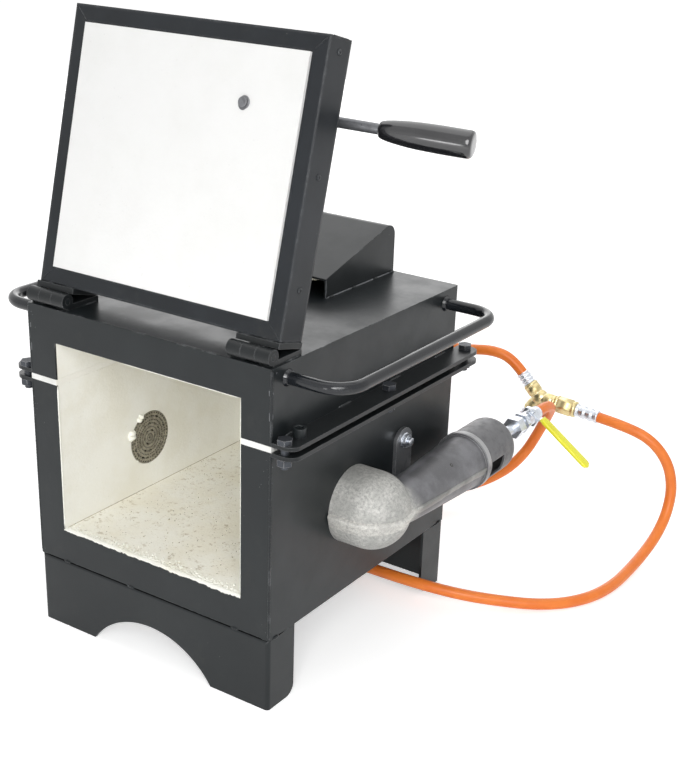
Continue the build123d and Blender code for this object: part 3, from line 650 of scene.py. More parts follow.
@dataclass
class Studio:
    """Camera, pale floor, lamps and the even light of the room."""

    place: Point = (0.8240, -1.13275, 0.7810)
    azimuth: float = 32.673
    elevation: float = 23.079
    roll: float = 2.264
    focal_px: float = 1375.556
    centre_px: Pair = (358.770, 431.352)
    picture_px: tuple[int, int] = (680, 773)
    sensor: float = 36.0
    reach: Pair = (0.05, 60.0)
    floor_half: float = 40.0
    floor_lift: float = 0.50
    floor_colour: Colour = (0.90, 0.90, 0.90)
    room: float = 0.34
    discs: tuple[tuple[str, Point, float, float], ...] = (
        ("key", (1.50, -2.0, 1.6), 1.7, 41.0),
        ("fill", (-0.1, -2.7, 0.7), 1.6, 1.2),
        ("rear", (-1.9, 2.7, 1.2), 2.6, 22.0),
        ("glint", (0.15, -2.52, 0.36), 0.5, 3.6),
    )
    discs_aim: Point = (0.0, 0.0, 0.2)
    mouth_power: float = 34.0
    mouth_place: Point = (0.66, -1.45, 0.74)
    mouth_aim: Point = (0.0, -0.17, 0.185)
    mouth_cone: float = math.radians(17.0)
    mouth_blend: float = 0.7
    mouth_soft: float = 0.25
    overhead: float = 0.80
    overhead_turn: Point = (math.radians(-14.0), math.radians(-10.0), 0.0)
    overhead_spread: float = math.radians(70.0)

    def camera(self) -> None:
        """Set up the camera at the picture's viewpoint."""
        data = bpy.data.cameras.new("camera")
        width, height = self.picture_px
        data.sensor_width = self.sensor
        data.lens = self.focal_px * self.sensor / height
        data.shift_x = (width / 2 - self.centre_px[0]) / height
        data.shift_y = (self.centre_px[1] - height / 2) / height
        data.clip_start, data.clip_end = self.reach
        a, e, r = (math.radians(v) for v in (self.azimuth, self.elevation, self.roll))
        back = Vector((math.sin(a) * math.cos(e), -math.cos(a) * math.cos(e), math.sin(e)))
        level = Vector((math.cos(a), math.sin(a), 0.0))
        upright = back.cross(level)
        right = level * math.cos(r) + upright * math.sin(r)
        up = upright * math.cos(r) - level * math.sin(r)
        view = linked("camera", data)
        view.matrix_world = Matrix.Translation(self.place) @ Matrix((right, up, back)).transposed().to_4x4()
        bpy.context.scene.camera = view

    def floor(self) -> None:
        """Lay a pale floor with a faint unevenness."""
        bm = bmesh.new()
        h = self.floor_half
        bm.faces.new([bm.verts.new((x, y, 0.0)) for x, y in ((-h, -h), (h, -h), (h, h), (-h, h))])
        s = Shader("pale_floor")
        s.set(Base_Color=self.floor_colour, Roughness=s.span(s.noise(6.0), 0.3, 0.7, 0.75, 0.85),
              Specular_IOR_Level=0.1, Emission_Color=(1.0, 1.0, 1.0),
              Emission_Strength=s.times(seen_rays(s.tree), self.floor_lift))
        mesh_object("floor", bm, s.material, smooth=False)

    def hang(self, name: str, kind: LampKind, power: float) -> Piece:
        """Put a lamp in the scene.

        Args:
            name: its name.
            kind: its kind.
            power: watts, or a sun's strength.

        Returns:
            The lamp.
        """
        lamp = linked(name, bpy.data.lights.new(name, kind.value))
        lamp.data.energy = power
        return lamp

    def lights(self) -> None:
        """Hang four round lamps, a spot for the furnace's mouth and a soft light from above."""
        for name, place, size, power in self.discs:
            lamp = self.hang(name, LampKind.DISC, power)
            lamp.data.shape = "DISK"
            lamp.data.size = size
            lamp.matrix_world = aimed(place, self.discs_aim)
        lamp = self.hang("mouth", LampKind.SPOT, self.mouth_power)
        lamp.data.spot_size = self.mouth_cone
        lamp.data.spot_blend = self.mouth_blend
        lamp.data.shadow_soft_size = self.mouth_soft
        lamp.matrix_world = aimed(self.mouth_place, self.mouth_aim)
        lamp = self.hang("overhead", LampKind.SUN, self.overhead)
        lamp.data.angle = self.overhead_spread
        lamp.rotation_euler = self.overhead_turn

    def walls(self) -> None:
        """Light the room evenly, and show it as plain white."""
        world = bpy.data.worlds.new("room")
        bpy.context.scene.world = world
        world.use_nodes = True
        tree = world.node_tree
        background = next(n for n in tree.nodes if n.type == "BACKGROUND")
        background.inputs["Color"].default_value = (1.0, 1.0, 1.0, 1.0)
        level = tree.nodes.new("ShaderNodeMath")
        level.operation = "MULTIPLY_ADD"
        tree.links.new(seen_rays(tree), level.inputs[0])
        level.inputs[1].default_value = 1.0 - self.room
        level.inputs[2].default_value = self.room
        tree.links.new(level.outputs[0], background.inputs["Strength"])
        bpy.context.scene.view_settings.view_transform = "Standard"

    def build(self) -> None:
        """Make all of it."""
        for step in (self.camera, self.floor, self.lights, self.walls):
            step()


@dataclass
class Hoses:
    """Two short hoses to the valves and the long supply hose with its coil."""

    rubber: Material
    radius: float = 0.0065
    tee: Point = (0.150, 0.33375, 0.155)
    tee_leg: float = 0.022
    ferrule: float = 0.016
    swivel: float = 0.028
    supply_ferrule: float = 0.030
    valve_ferrule: float = 0.012
    valve_y: float = 0.455
    leads: Point = (0.022, 0.024, 0.032)
    coil_middle: Point = (-0.160, 0.19875, 0.0)
    coil_out: float = 0.080
    coil_in: float = 0.064
    coil_turn: float = 0.0732
    coil_low: float = 0.0066
    coil_high: float = 0.0202
    coil_lead: float = 0.013
    half_steps: int = 8
    left_points: tuple[Point, ...] = (
        (0.083, 0.553, 0.205), (0.052, 0.549, 0.200), (0.017, 0.547, 0.196), (-0.018, 0.549, 0.195),
        (-0.052, 0.555, 0.195), (-0.086, 0.562, 0.194), (-0.121, 0.562, 0.191), (-0.153, 0.551, 0.183),
        (-0.177, 0.530, 0.178), (-0.190, 0.501, 0.1755),
    )
    right_points: tuple[Point, ...] = (
        (0.104, 0.568, 0.083), (0.086, 0.582, 0.062), (0.062, 0.595, 0.044), (0.032, 0.603, 0.031),
        (-0.002, 0.601, 0.024), (-0.034, 0.587, 0.020), (-0.057, 0.560, 0.018), (-0.062, 0.527, 0.018),
        (-0.049, 0.495, 0.019), (-0.022, 0.474, 0.021), (0.012, 0.466, 0.023), (0.044, 0.471, 0.026),
        (0.069, 0.485, 0.031), (0.090, 0.500, 0.039), (0.113, 0.511, 0.051), (0.135, 0.522, 0.069),
        (0.150, 0.533, 0.091), (0.160, 0.541, 0.116), (0.171, 0.538, 0.141), (0.184, 0.521, 0.163),
        (0.190, 0.495, 0.1755),
    )
    supply_points: tuple[Point, ...] = (
        (0.296, 0.566, 0.137), (0.319, 0.572, 0.112), (0.329, 0.573, 0.081), (0.331, 0.562, 0.051),
        (0.330, 0.538, 0.029), (0.327, 0.506, 0.015), (0.325, 0.470, 0.0085), (0.324, 0.432, 0.0068),
        (0.317, 0.394, 0.0066), (0.299, 0.360, 0.0066), (0.272, 0.333, 0.0076), (0.239, 0.311, 0.011),
        (0.206, 0.290, 0.016), (0.170, 0.277, 0.020), (0.131, 0.273, 0.0205), (0.092, 0.276, 0.018),
        (0.054, 0.281, 0.014), (0.015, 0.285, 0.010), (-0.024, 0.286, 0.0074), (-0.063, 0.282, 0.0066),
        (-0.102, 0.274, 0.0067), (-0.141, 0.268, 0.0066), (-0.179, 0.273, 0.0067), (-0.211, 0.295, 0.0066),
        (-0.232, 0.333, 0.0067), (-0.240, 0.373, 0.0066),
    )

    def laid(self, points: tuple[Point, ...]) -> list[Vector]:
        """Listed points, measured from the casing's front, put in the frame."""
        return [Vector((x, FRONT_Y + y, z)) for x, y, z in points]

    def start(self, leg: Leg, out: float, lead: float) -> list[Vector]:
        """First two points of a hose that leaves a leg straight."""
        tee, along = Vector(self.tee), leg.along()
        return [tee + along * out, tee + along * (out + lead)]

    def coil_points(self) -> list[Vector]:
        """Control points of the coil's five half turns.

        Returns:
            The points, from the lower outer end to the upper outer end.
        """
        outer, turn, inner = self.coil_out, self.coil_turn, self.coil_in
        low, high, count = self.coil_low, self.coil_high, self.half_steps
        step = math.pi / count
        middle = Vector(self.coil_middle)
        points = [middle + Vector((-outer, -self.coil_lead, low))]
        for x0, x1, side, z0, z1 in (
            (-outer, turn, 1, low, low), (turn, -inner, -1, low, low), (-inner, inner, 1, low, high),
            (inner, -turn, -1, high, high), (-turn, outer, 1, high, high),
        ):
            centre, radius = (x0 + x1) / 2, (x1 - x0) / 2
            reach = radius / math.cos(step / 2)
            for k in range(count):
                angle, t = (k + 0.5) * step, (k + 0.5) / count
                x, y = centre - reach * math.cos(angle), side * abs(reach) * math.sin(angle)
                points.append(middle + Vector((x, y, z0 + (z1 - z0) * (t * t * (3 - 2 * t)))))
        points.append(middle + Vector((outer, -self.coil_lead, high)))
        return points

    def tube(self, name: str, points: list[Vector], *replaced: str) -> Piece:
        """Make one hose as a smooth round tube.

        Args:
            name: the piece's name.
            points: its control points.
            replaced: the solids it stands for.

        Returns:
            The piece.
        """
        curve = bpy.data.curves.new(name, "CURVE")
        curve.dimensions = "3D"
        curve.resolution_u = 8
        curve.bevel_depth = self.radius
        curve.bevel_resolution = 5
        curve.use_fill_caps = True
        line = curve.splines.new("NURBS")
        line.points.add(len(points) - 1)
        for slot, point in zip(line.points, points):
            slot.co = (*point, 1.0)
        line.order_u = 3
        line.use_endpoint_u = True
        line.use_smooth = True
        curve.materials.append(self.rubber)
        return placed(linked(name, curve), Slot.RUBBER, Body.FURNACE, *replaced)

    def build(self, fittings: list[Piece]) -> None:
        """Make the three hoses.

        Args:
            fittings: branch piece, swivel nut, crimp rings and gas connector; not used.
        """
        out = self.tee_leg + self.ferrule
        supply_out = self.tee_leg + self.swivel + self.supply_ferrule
        end_y = FRONT_Y + self.valve_y + self.valve_ferrule
        left_end, right_end = Vector((-TUBE_X, end_y, TUBE_Z)), Vector((TUBE_X, end_y, TUBE_Z))
        left = [*self.start(Leg.UP_LEFT, out, self.leads[0]), *self.laid(self.left_points), left_end]
        short = [*self.start(Leg.DOWN_LEFT, out, self.leads[1]), *self.laid(self.right_points), right_end]
        long = [*self.start(Leg.RIGHT, supply_out, self.leads[2]), *self.laid(self.supply_points),
                *self.coil_points()]
        piece = self.tube("left_hose", left[::-1], "hose_left")
        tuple(left_end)
        piece = self.tube("right_hose", short, "hose_right")
        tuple(short[0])
        piece = self.tube("supply_hose", long, "hose_supply", "hose_coil")
        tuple(long[0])


@dataclass
class Joints:
    """Weld beads and tacks of the casing, hood, hinges and strips, with painted shadow in the gaps over the
    feet and a painted highlight on the hood's edges.
    """

    paint: Material
    ground_and_highlight: Material
    gap: Material
    bead_r: float = 0.0012
    tack_r: float = 0.0017
    tack_l: float = 0.010
    seam_pitch: float = 0.0034
    foot_tack_x: Point = (-0.118, -0.030, 0.104)
    gap_r: float = 0.0008
    gap_l: float = 0.0300
    gap_pitch: float = 0.010
    gap_in: float = 0.0003
    lip_r: float = 0.0009
    lip_up: float = 0.019
    lip_pitch: float = 0.006
    set_in: float = 0.0006
    hood_x: float = 0.0702
    hood_y: Pair = (-0.029, 0.0995)
    hood_side_at: tuple[float, ...] = (0.04, 0.36, 0.68, 0.93)
    hood_rear_x: Point = (-0.055, -0.006, 0.043)
    casing_z: float = 0.079
    casing_top: float = 0.356
    top_lift: float = 0.0004
    split_z: Pair = (0.2755, 0.2825)
    rear_y: float = 0.10225
    strip_z: Pair = (0.2862, 0.2718)
    strip_y: tuple[float, ...] = (-0.205, -0.120, -0.030, 0.060)
    strip_l: float = 0.022
    patches: tuple[Point, ...] = (
        (0.338, 0.3520, 0.0008), (0.329, 0.337, 0.0026), (0.318, 0.327, 0.0010), (0.305, 0.316, 0.0022),
        (0.246, 0.258, 0.0008), (0.232, 0.240, 0.0012), (0.0925, 0.101, 0.0010), (0.121, 0.125, 0.0014),
    )
    patch_r: Pair = (0.0008, 0.0006)
    patch_pitch: float = 0.0018
    grains: int = 60
    grain_r: Pair = (0.0003, 0.0007)
    grain_z: tuple[Pair, ...] = ((0.345, 0.010), (0.25, 0.012), (0.085, 0.006))
    grain_spread: float = 0.004
    grain_side_share: float = 0.4

    def casing(self) -> None:
        """Seams up the front corners, tacks between casing and feet, and near-black beads there as painted
        shadow in the gaps.
        """
        rng = random.Random(11)
        bm = bmesh.new()
        z, tack = self.casing_z, self.tack_l
        for side in (-1, 1):
            x, y = side * (HALF_W - self.set_in), FRONT_Y + self.set_in
            for low, high in ((z + 0.001, self.split_z[0]), (self.split_z[1], self.casing_top - 0.0005)):
                bead(bm, (x, y, low), (x, y, high), self.bead_r, rng, self.seam_pitch)
            for y in (FRONT_Y + 0.006, self.rear_y - 0.014):
                bead(bm, (side * HALF_W, y, z), (side * HALF_W, y + tack, z), self.tack_r, rng)
        for x in self.foot_tack_x:
            for y in (FRONT_Y, self.rear_y):
                bead(bm, (x, y, z), (x + tack, y, z), self.tack_r * 0.8, rng)
        trim("casing_welds", bm, self.paint, Slot.PAINT)
        # Painted shadow: near-black beads along the seams over the feet stand in for the shade in the gaps
        # there.
        bm = bmesh.new()
        r, pitch, inner = self.gap_r, self.gap_pitch, self.gap_in
        reach, z = HALF_W - 2 * r, z - inner
        for y in (FRONT_Y + inner, self.rear_y - inner):
            bead(bm, (-reach, y, z), (reach, y, z), r, rng, pitch)
        front, rear = FRONT_Y + 0.0005, self.rear_y - 0.0005
        for side in (-1, 1):
            x = side * (HALF_W - inner)
            bead(bm, (x, front, z), (x, FRONT_Y + self.gap_l, z), r, rng, pitch)
            bead(bm, (x, self.rear_y - self.gap_l, z), (x, rear, z), r, rng, pitch)
        trim("foot_gap_shadow", bm, self.gap, Slot.PAINT)

    def hood(self) -> None:
        """Short beads along the hood's lower edges, and light beads along its lower and front edges that are
        a painted highlight, partly weld metal.
        """
        rng = random.Random(12)
        bm = bmesh.new()
        z = self.casing_top + self.top_lift
        near, far = self.hood_y
        for side in (-1, 1):
            x = side * self.hood_x
            for share in self.hood_side_at:
                y = near + share * (far - near)
                bead(bm, (x, y, z), (x, y + self.tack_l, z), self.tack_r, rng)
        for x in self.hood_rear_x:
            bead(bm, (x, far + 0.0004, z), (x + self.tack_l, far + 0.0004, z), self.tack_r, rng)
        trim("hood_welds", bm, self.paint, Slot.PAINT)
        # Painted highlight: light beads along the lower and front edges of the hood's sides stand in for
        # those edges catching light, partly a weld bead.
        bm = bmesh.new()
        for side in (-1, 1):
            x, y = side * (self.hood_x - 0.0004), near + 0.0002
            bead(bm, (x, near, z), (x, far, z), self.lip_r, rng, self.lip_pitch)
            bead(bm, (x, y, z), (x, y, z + self.lip_up), self.lip_r, rng, self.lip_pitch)
        trim("hood_edge_highlight", bm, self.ground_and_highlight, Slot.PAINT)

    def corners(self) -> None:
        """Ground patches and grains left on the front corners where the welds were dressed."""
        rng = random.Random(15)
        bm = bmesh.new()
        wide, thin = self.patch_r
        for side in (-1, 1):
            for low, high, inset in self.patches:
                x, y = side * (HALF_W - inset), FRONT_Y + self.set_in
                bead(bm, (x, y, low), (x, y, high), wide, rng, self.patch_pitch)
                x, y = side * (HALF_W - 0.0002), FRONT_Y + inset
                bead(bm, (x, y, low + 0.002), (x, y, high - 0.002), thin, rng, self.patch_pitch)
        for _ in range(self.grains):
            side = rng.choice((-1, 1))
            z = rng.choice([rng.gauss(middle, spread) for middle, spread in self.grain_z])
            if not self.casing_z + 0.002 < z < self.casing_top - 0.004:
                continue
            grain = rng.uniform(*self.grain_r)
            x, y = side * (HALF_W - abs(rng.gauss(0, self.grain_spread))), FRONT_Y + 0.6 * grain
            if rng.random() < self.grain_side_share:
                x, y = side * HALF_W, FRONT_Y + abs(rng.gauss(0, self.grain_spread))
            made = bmesh.ops.create_icosphere(bm, subdivisions=1, radius=grain)
            for v in made["verts"]:
                v.co += Vector((x, y, z))
        trim("ground_corners", bm, self.ground_and_highlight, Slot.PAINT)

    def hinges(self) -> None:
        """Beads behind each hinge plate on the casing's top."""
        rng = random.Random(13)
        bm = bmesh.new()
        z = self.casing_top + self.top_lift
        for name in ("hinge_base_left", "hinge_base_right"):
            low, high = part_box(name)
            for x in (low.x, high.x):
                bead(bm, (x, high.y - 0.026, z), (x, high.y - 0.003, z), self.bead_r, rng)
            bead(bm, (low.x + 0.004, high.y, z), (high.x - 0.004, high.y, z), self.bead_r, rng)
        trim("hinge_welds", bm, self.paint, Slot.PAINT)

    def strips(self) -> None:
        """Stitch beads between the flange strips and the casing's sides."""
        rng = random.Random(14)
        bm = bmesh.new()
        for side in (-1, 1):
            for z in self.strip_z:
                for y in self.strip_y:
                    start = Vector((side * (HALF_W + 0.0004), y, z))
                    bead(bm, start, start + Vector((0, self.strip_l, 0)), self.tack_r, rng)
        trim("strip_welds", bm, self.paint, Slot.PAINT)

    def build(self) -> None:
        """Make all the beads."""
        for step in (self.casing, self.corners, self.hood, self.hinges, self.strips):
            step()


@dataclass
class DoorTrim:
    """Mitre seams, hinge-side beads, side screws, the handle's end in the board, and its grip."""

    paint: Material
    steel: Material
    plastic: Material
    hinge_y: float = -0.22125
    hinge_z: float = 0.365
    lean: float = math.radians(14.4)
    half_w: float = 0.1468
    low: float = 0.013
    high: float = 0.2793
    face: float = 0.00836
    back: float = 0.04086
    rim: float = 0.0165
    seam_r: float = 0.0008
    edge_seam_r: float = 0.0009
    seam_pitch: float = 0.0030
    tack_r: float = 0.0012
    tack_x: Pair = (0.101, 0.128)
    tack_l: float = 0.014
    screw_up: Point = (0.060, 0.160, 0.267)
    screw_profile: tuple[Pair, ...] = (
        (0.0, 0.0030), (0.0006, 0.0030), (0.0011, 0.0027), (0.0015, 0.0018), (0.0016, 0.0012),
        (0.0011, 0.0010), (0.0010, 0.0),
    )
    rod_x: float = 0.0695
    rod_up: float = 0.2125
    grip_x: float = 0.16494
    grip_up: float = 0.2105
    grip_behind: float = 0.08089
    grip_turn: float = math.radians(14.2)
    grip_profile: tuple[Pair, ...] = (
        (0.0, 0.0056), (0.0004, 0.0068), (0.0014, 0.0078), (0.0035, 0.0086), (0.0080, 0.0096),
        (0.0140, 0.0105), (0.0210, 0.0113), (0.0290, 0.0120), (0.0380, 0.0125), (0.0480, 0.0128),
        (0.0600, 0.0130), (0.0720, 0.0130), (0.0820, 0.0129), (0.0846, 0.0127), (0.0860, 0.0121),
        (0.0870, 0.0112), (0.0875, 0.0100), (0.0876, 0.0060), (0.0876, 0.0),
    )

    def at(self, x: float, up: float, behind: float) -> Vector:
        """A point of the open door: across it, up from the hinge line, and behind that line, square to it."""
        c, s = math.cos(self.lean), math.sin(self.lean)
        return Vector((x, self.hinge_y + up * s + behind * c, self.hinge_z + up * c - behind * s))

    def recess(self, ring: int, angle: float) -> float:
        """Factor of a screw's radius: its head is round and its recess a cross."""
        return 1.0 if ring < 4 else 0.75 + 0.25 * abs(math.cos(2 * angle))

    def seams(self) -> None:
        """Ground welds across the frame's mitred corners, front and edges, and tacks by the hinges."""
        rng = random.Random(21)
        bm = bmesh.new()
        front = self.face + 0.0004
        for side in (-1, 1):
            for outer, inner in ((self.low, self.low + self.rim), (self.high, self.high - self.rim)):
                step = 0.0015 if inner > outer else -0.0015
                start = self.at(side * (self.half_w - 0.0015), outer + step, front)
                end = self.at(side * (self.half_w - self.rim + 0.001), inner - step, front)
                bead(bm, start, end, self.seam_r, rng, self.seam_pitch)
                x, up = side * (self.half_w - 0.0004), outer + step * 0.3
                near, far = self.at(x, up, self.face + 0.002), self.at(x, up, self.back - 0.002)
                bead(bm, near, far, self.edge_seam_r, rng, self.seam_pitch)
        up, behind = self.low - 0.0002, self.face + 0.0006
        for side in (-1, 1):
            for x in self.tack_x:
                start, end = self.at(side * x, up, behind), self.at(side * (x + self.tack_l), up, behind)
                bead(bm, start, end, self.tack_r, rng)
        trim("door_welds", bm, self.paint, Slot.PAINT, Body.DOOR)

    def screws(self) -> None:
        """Pan-head screws in the door's sides and the threaded end of the handle's bar in the board."""
        bm = bmesh.new()
        for side in (-1, 1):
            for up in self.screw_up:
                start = self.at(side * (self.half_w - 0.0004), up, (self.face + self.back) / 2)
                turned(bm, start, (side, 0, 0), self.screw_profile, 24, self.recess)
        trim("door_screws", bm, self.paint, Slot.PAINT, Body.DOOR)
        bm = bmesh.new()
        profile = [(0.0, 0.0056), (0.0004, 0.0060), (0.0008, 0.0058), (0.0009, 0.0046)]
        for i in range(5):
            profile += [(0.0010 + 0.0005 * i, 0.0044), (0.00125 + 0.0005 * i, 0.0048)]
        profile += [(0.0036, 0.0042), (0.0040, 0.0030), (0.0037, 0.0012), (0.0034, 0.0)]
        turned(bm, self.at(self.rod_x, self.rod_up, self.face - 0.003), self.at(0, 0, -1) - self.at(0, 0, 0),
               profile, 32)
        trim("handle_bar_end", bm, self.steel, Slot.ZINC, Body.DOOR)

    def grip(self) -> None:
        """The handle's moulded grip, fuller than a plain cone and round at both ends."""
        bm = bmesh.new()
        start = self.at(self.grip_x, self.grip_up, self.grip_behind)
        far = self.at(self.grip_x + math.cos(self.grip_turn), self.grip_up,
                      self.grip_behind + math.sin(self.grip_turn))
        turned(bm, start, far - start, self.grip_profile, 64)
        trim("moulded_grip", bm, self.plastic, Slot.GRIP, Body.DOOR, "door_grip")

    def build(self) -> None:
        """Make the door's trim."""
        for step in (self.seams, self.screws, self.grip):
            step()


@dataclass
class Fixings:
    """Threads on the bolts' tails and bracket studs, and washers below their heads."""

    bolt: Material
    zinc: Material
    bolt_x: float = 0.161
    bolt_y: Point = (0.006, 0.180, 0.332)
    nut_low: float = 0.2655
    tail: float = 0.0035
    radius: float = 0.0040
    pitch: float = 0.00125
    stud_x: float = 0.1593
    stud_y: float = 0.227
    stud_z: float = 0.2126
    stud_l: float = 0.0034
    washer_x: float = 0.1539
    washer_r: float = 0.0083

    def thread(self, bm: Mesh, start: Place, along: Place, length: float) -> None:
        """Add a ribbed rod end.

        Args:
            bm: the mesh.
            start: where the ribs start.
            along: direction of the rod.
            length: length of the ribs.
        """
        r, end = self.radius, length + 0.0003
        steps = max(2, round(length / self.pitch * 2))
        profile = [(length * i / steps, r + (0.00035 if i % 2 else 0.00002)) for i in range(steps + 1)]
        profile += [(end, r - 0.0006), (end, 0.0)]
        turned(bm, start, along, profile, 24)

    def build(self) -> None:
        """Make the fixings."""
        bm = bmesh.new()
        for side in (-1, 1):
            for y in self.bolt_y:
                self.thread(bm, (side * self.bolt_x, FRONT_Y + y, self.nut_low), (0, 0, -1), self.tail)
        trim("bolt_tails", bm, self.bolt, Slot.BOLT)
        bm = bmesh.new()
        y, r = FRONT_Y + self.stud_y, self.washer_r
        for side in (-1, 1):
            self.thread(bm, (side * self.stud_x, y, self.stud_z), (side, 0, 0), self.stud_l)
            turned(bm, (side * self.washer_x, y, self.stud_z), (side, 0, 0),
                   [(0.0, r - 0.0002), (0.0002, r), (0.0009, r), (0.0011, r - 0.0002)])
        trim("stud_threads", bm, self.zinc, Slot.ZINC)


@dataclass
class CrimpRings:
    """Pressed ferrules at the ends of the hoses, each with three crimped bands."""

    zinc: Material
    hoses: Hoses
    radius: float = 0.0082
    mouth: float = 0.0064
    bands: int = 3
    steps: int = 24

    def pressed(self, ring: int, angle: float) -> float:
        """Factor of a ferrule's radius, with eight flats between its plain ends."""
        return 1.0 - 0.035 * abs(math.cos(4 * angle)) if 2 < ring < self.steps else 1.0

    def ring(self, bm: Mesh, start: Vector, along: Vector, length: float) -> None:
        """Add one ferrule.

        Args:
            bm: the mesh.
            start: its end at the fitting.
            along: towards the hose.
            length: its length.
        """
        profile = [(0.0, self.radius - 0.0010), (0.0006, self.radius)]
        for i in range(1, self.steps):
            t = i / self.steps
            dip = math.sin(math.pi * self.bands * t) ** 2
            profile.append((0.0006 + (length - 0.0016) * t, self.radius - 0.0011 * dip))
        profile += [(length - 0.0008, self.radius), (length, self.radius - 0.0009), (length, self.mouth)]
        turned(bm, start, along, profile, 48, self.pressed)

    def build(self) -> Piece:
        """Make the five ferrules.

        Returns:
            The piece.
        """
        h = self.hoses
        tee = Vector(h.tee)
        bm = bmesh.new()
        for leg, out, length in ((Leg.RIGHT, h.tee_leg + h.swivel, h.supply_ferrule),
                                 (Leg.UP_LEFT, h.tee_leg, h.ferrule), (Leg.DOWN_LEFT, h.tee_leg, h.ferrule)):
            self.ring(bm, tee + leg.along() * out, leg.along(), length)
        for side in (-1, 1):
            valve = Vector((side * TUBE_X, FRONT_Y + h.valve_y, TUBE_Z))
            self.ring(bm, valve, Vector((0, 1, 0)), h.valve_ferrule)
        return trim("crimp_rings", bm, self.zinc, Slot.ZINC, Body.FURNACE, "hose_ferrules")


@dataclass
class CastSeams:
    """Parting ridges of the two burner castings, where their mould halves met a little apart, in a lighter
    copy of the casting's finish as a painted highlight.
    """

    ridge_highlight_iron: Material
    dark: Material
    head_y: float = 0.1348
    dome: float = 0.040
    barrel: float = 0.025
    wall_gap: float = 0.0012
    z: float = 0.1768
    dome_steps: int = 14
    dome_turn: float = math.radians(112.0)
    tube_share: float = 0.55
    section: tuple[Pair, ...] = (
        (0.0022, -0.0004), (0.0011, 0.0002), (0.0006, 0.0025), (-0.0009, 0.0034), (-0.0036, 0.0030),
        (-0.0080, 0.0021), (-0.0130, 0.0010), (-0.0180, -0.0004),
    )
    profile: tuple[Pair, ...] = (
        (0.158, 0.0213), (0.168, 0.0230), (0.184, 0.0240), (0.210, 0.0251), (0.240, 0.0267),
        (0.270, 0.0286), (0.2885, 0.0299),
    )
    pit_y: float = 0.235
    pit_out: float = 0.0264
    pit_turn: float = math.radians(50.0)
    pit_profile: tuple[Pair, ...] = (
        (0.0, 0.0023), (0.0006, 0.0022), (0.0008, 0.0017), (0.0005, 0.0009), (0.0004, 0.0),
    )

    def line(self, side: int) -> list[tuple[Vector, Vector, float, float]]:
        """Points along the ridge, out of the wall, over the head and down the tube.

        Args:
            side: 1 on the right, -1 on the left.

        Returns:
            For each its point, outward direction, the form's radius and the ridge's share of full size.
        """
        rows = []
        y, dome = FRONT_Y + self.head_y, self.dome
        for share in (0.0, 0.5, 1.0):
            x = side * (HALF_W + self.wall_gap + (self.barrel - self.wall_gap) * share)
            rows.append((Vector((x, y - dome, self.z)), Vector((0, -1, 0)), dome, 1.0))
        middle = Vector((side * (HALF_W + self.barrel), y, self.z))
        for k in range(1, self.dome_steps + 1):
            angle = -math.pi / 2 + k * self.dome_turn / self.dome_steps
            out = Vector((side * math.cos(angle), math.sin(angle), 0))
            rows.append((middle + out * dome, out, dome, 1.0 - 0.3 * k / self.dome_steps))
        for along, r in self.profile:
            rows.append((Vector((side * (TUBE_X + r), FRONT_Y + along, self.z)), Vector((side, 0, 0)), r,
                         self.tube_share))
        return rows

    def ridge(self, side: int, name: str, rng: random.Random) -> None:
        """Make one ridge.

        Args:
            side: 1 on the right, -1 on the left.
            name: the side's name.
            rng: seeded random numbers.
        """
        bm = bmesh.new()
        ends, parts = self.line(side), 6
        fine = []
        for (p, a, r, g), (q, b, t, h) in zip(ends, ends[1:]):
            for i in range(parts):
                share = i / parts
                fine.append((p.lerp(q, share), a.lerp(b, share).normalized(), r + (t - r) * share,
                             g + (h - g) * share))
        fine.append(ends[-1])
        rows = []
        for point, out, radius, grow in fine:
            wobble = rng.uniform(0.85, 1.1)
            row = []
            for drop, lift in self.section:
                drop *= grow
                hollow = math.sqrt(max(radius * radius - drop * drop, 0.0)) - radius
                raised = lift * grow * wobble if lift > 0 else lift
                row.append(bm.verts.new(point + out * (hollow + raised)
                                        + Vector((0, 0, drop + rng.uniform(-0.0001, 0.0001)))))
            rows.append(row)
        skin(bm, rows, closed=False)
        trim(f"cast_seam_{name}", bm, self.ridge_highlight_iron, Slot.IRON)

    def build(self) -> None:
        """Make both ridges and the small pits in the tubes, the pits as near-black discs of painted shade."""
        rng = random.Random(31)
        for side, name in SIDES:
            self.ridge(side, name, rng)
            bm = bmesh.new()
            # Each pit is a near-black disc: painted shade, not a hollow.
            out = Vector((side * math.cos(self.pit_turn), 0, math.sin(self.pit_turn)))
            start = Vector((side * TUBE_X, FRONT_Y + self.pit_y, TUBE_Z)) + out * self.pit_out
            turned(bm, start, out, self.pit_profile, 20)
            trim(f"tube_pit_{name}", bm, self.dark, Slot.IRON)


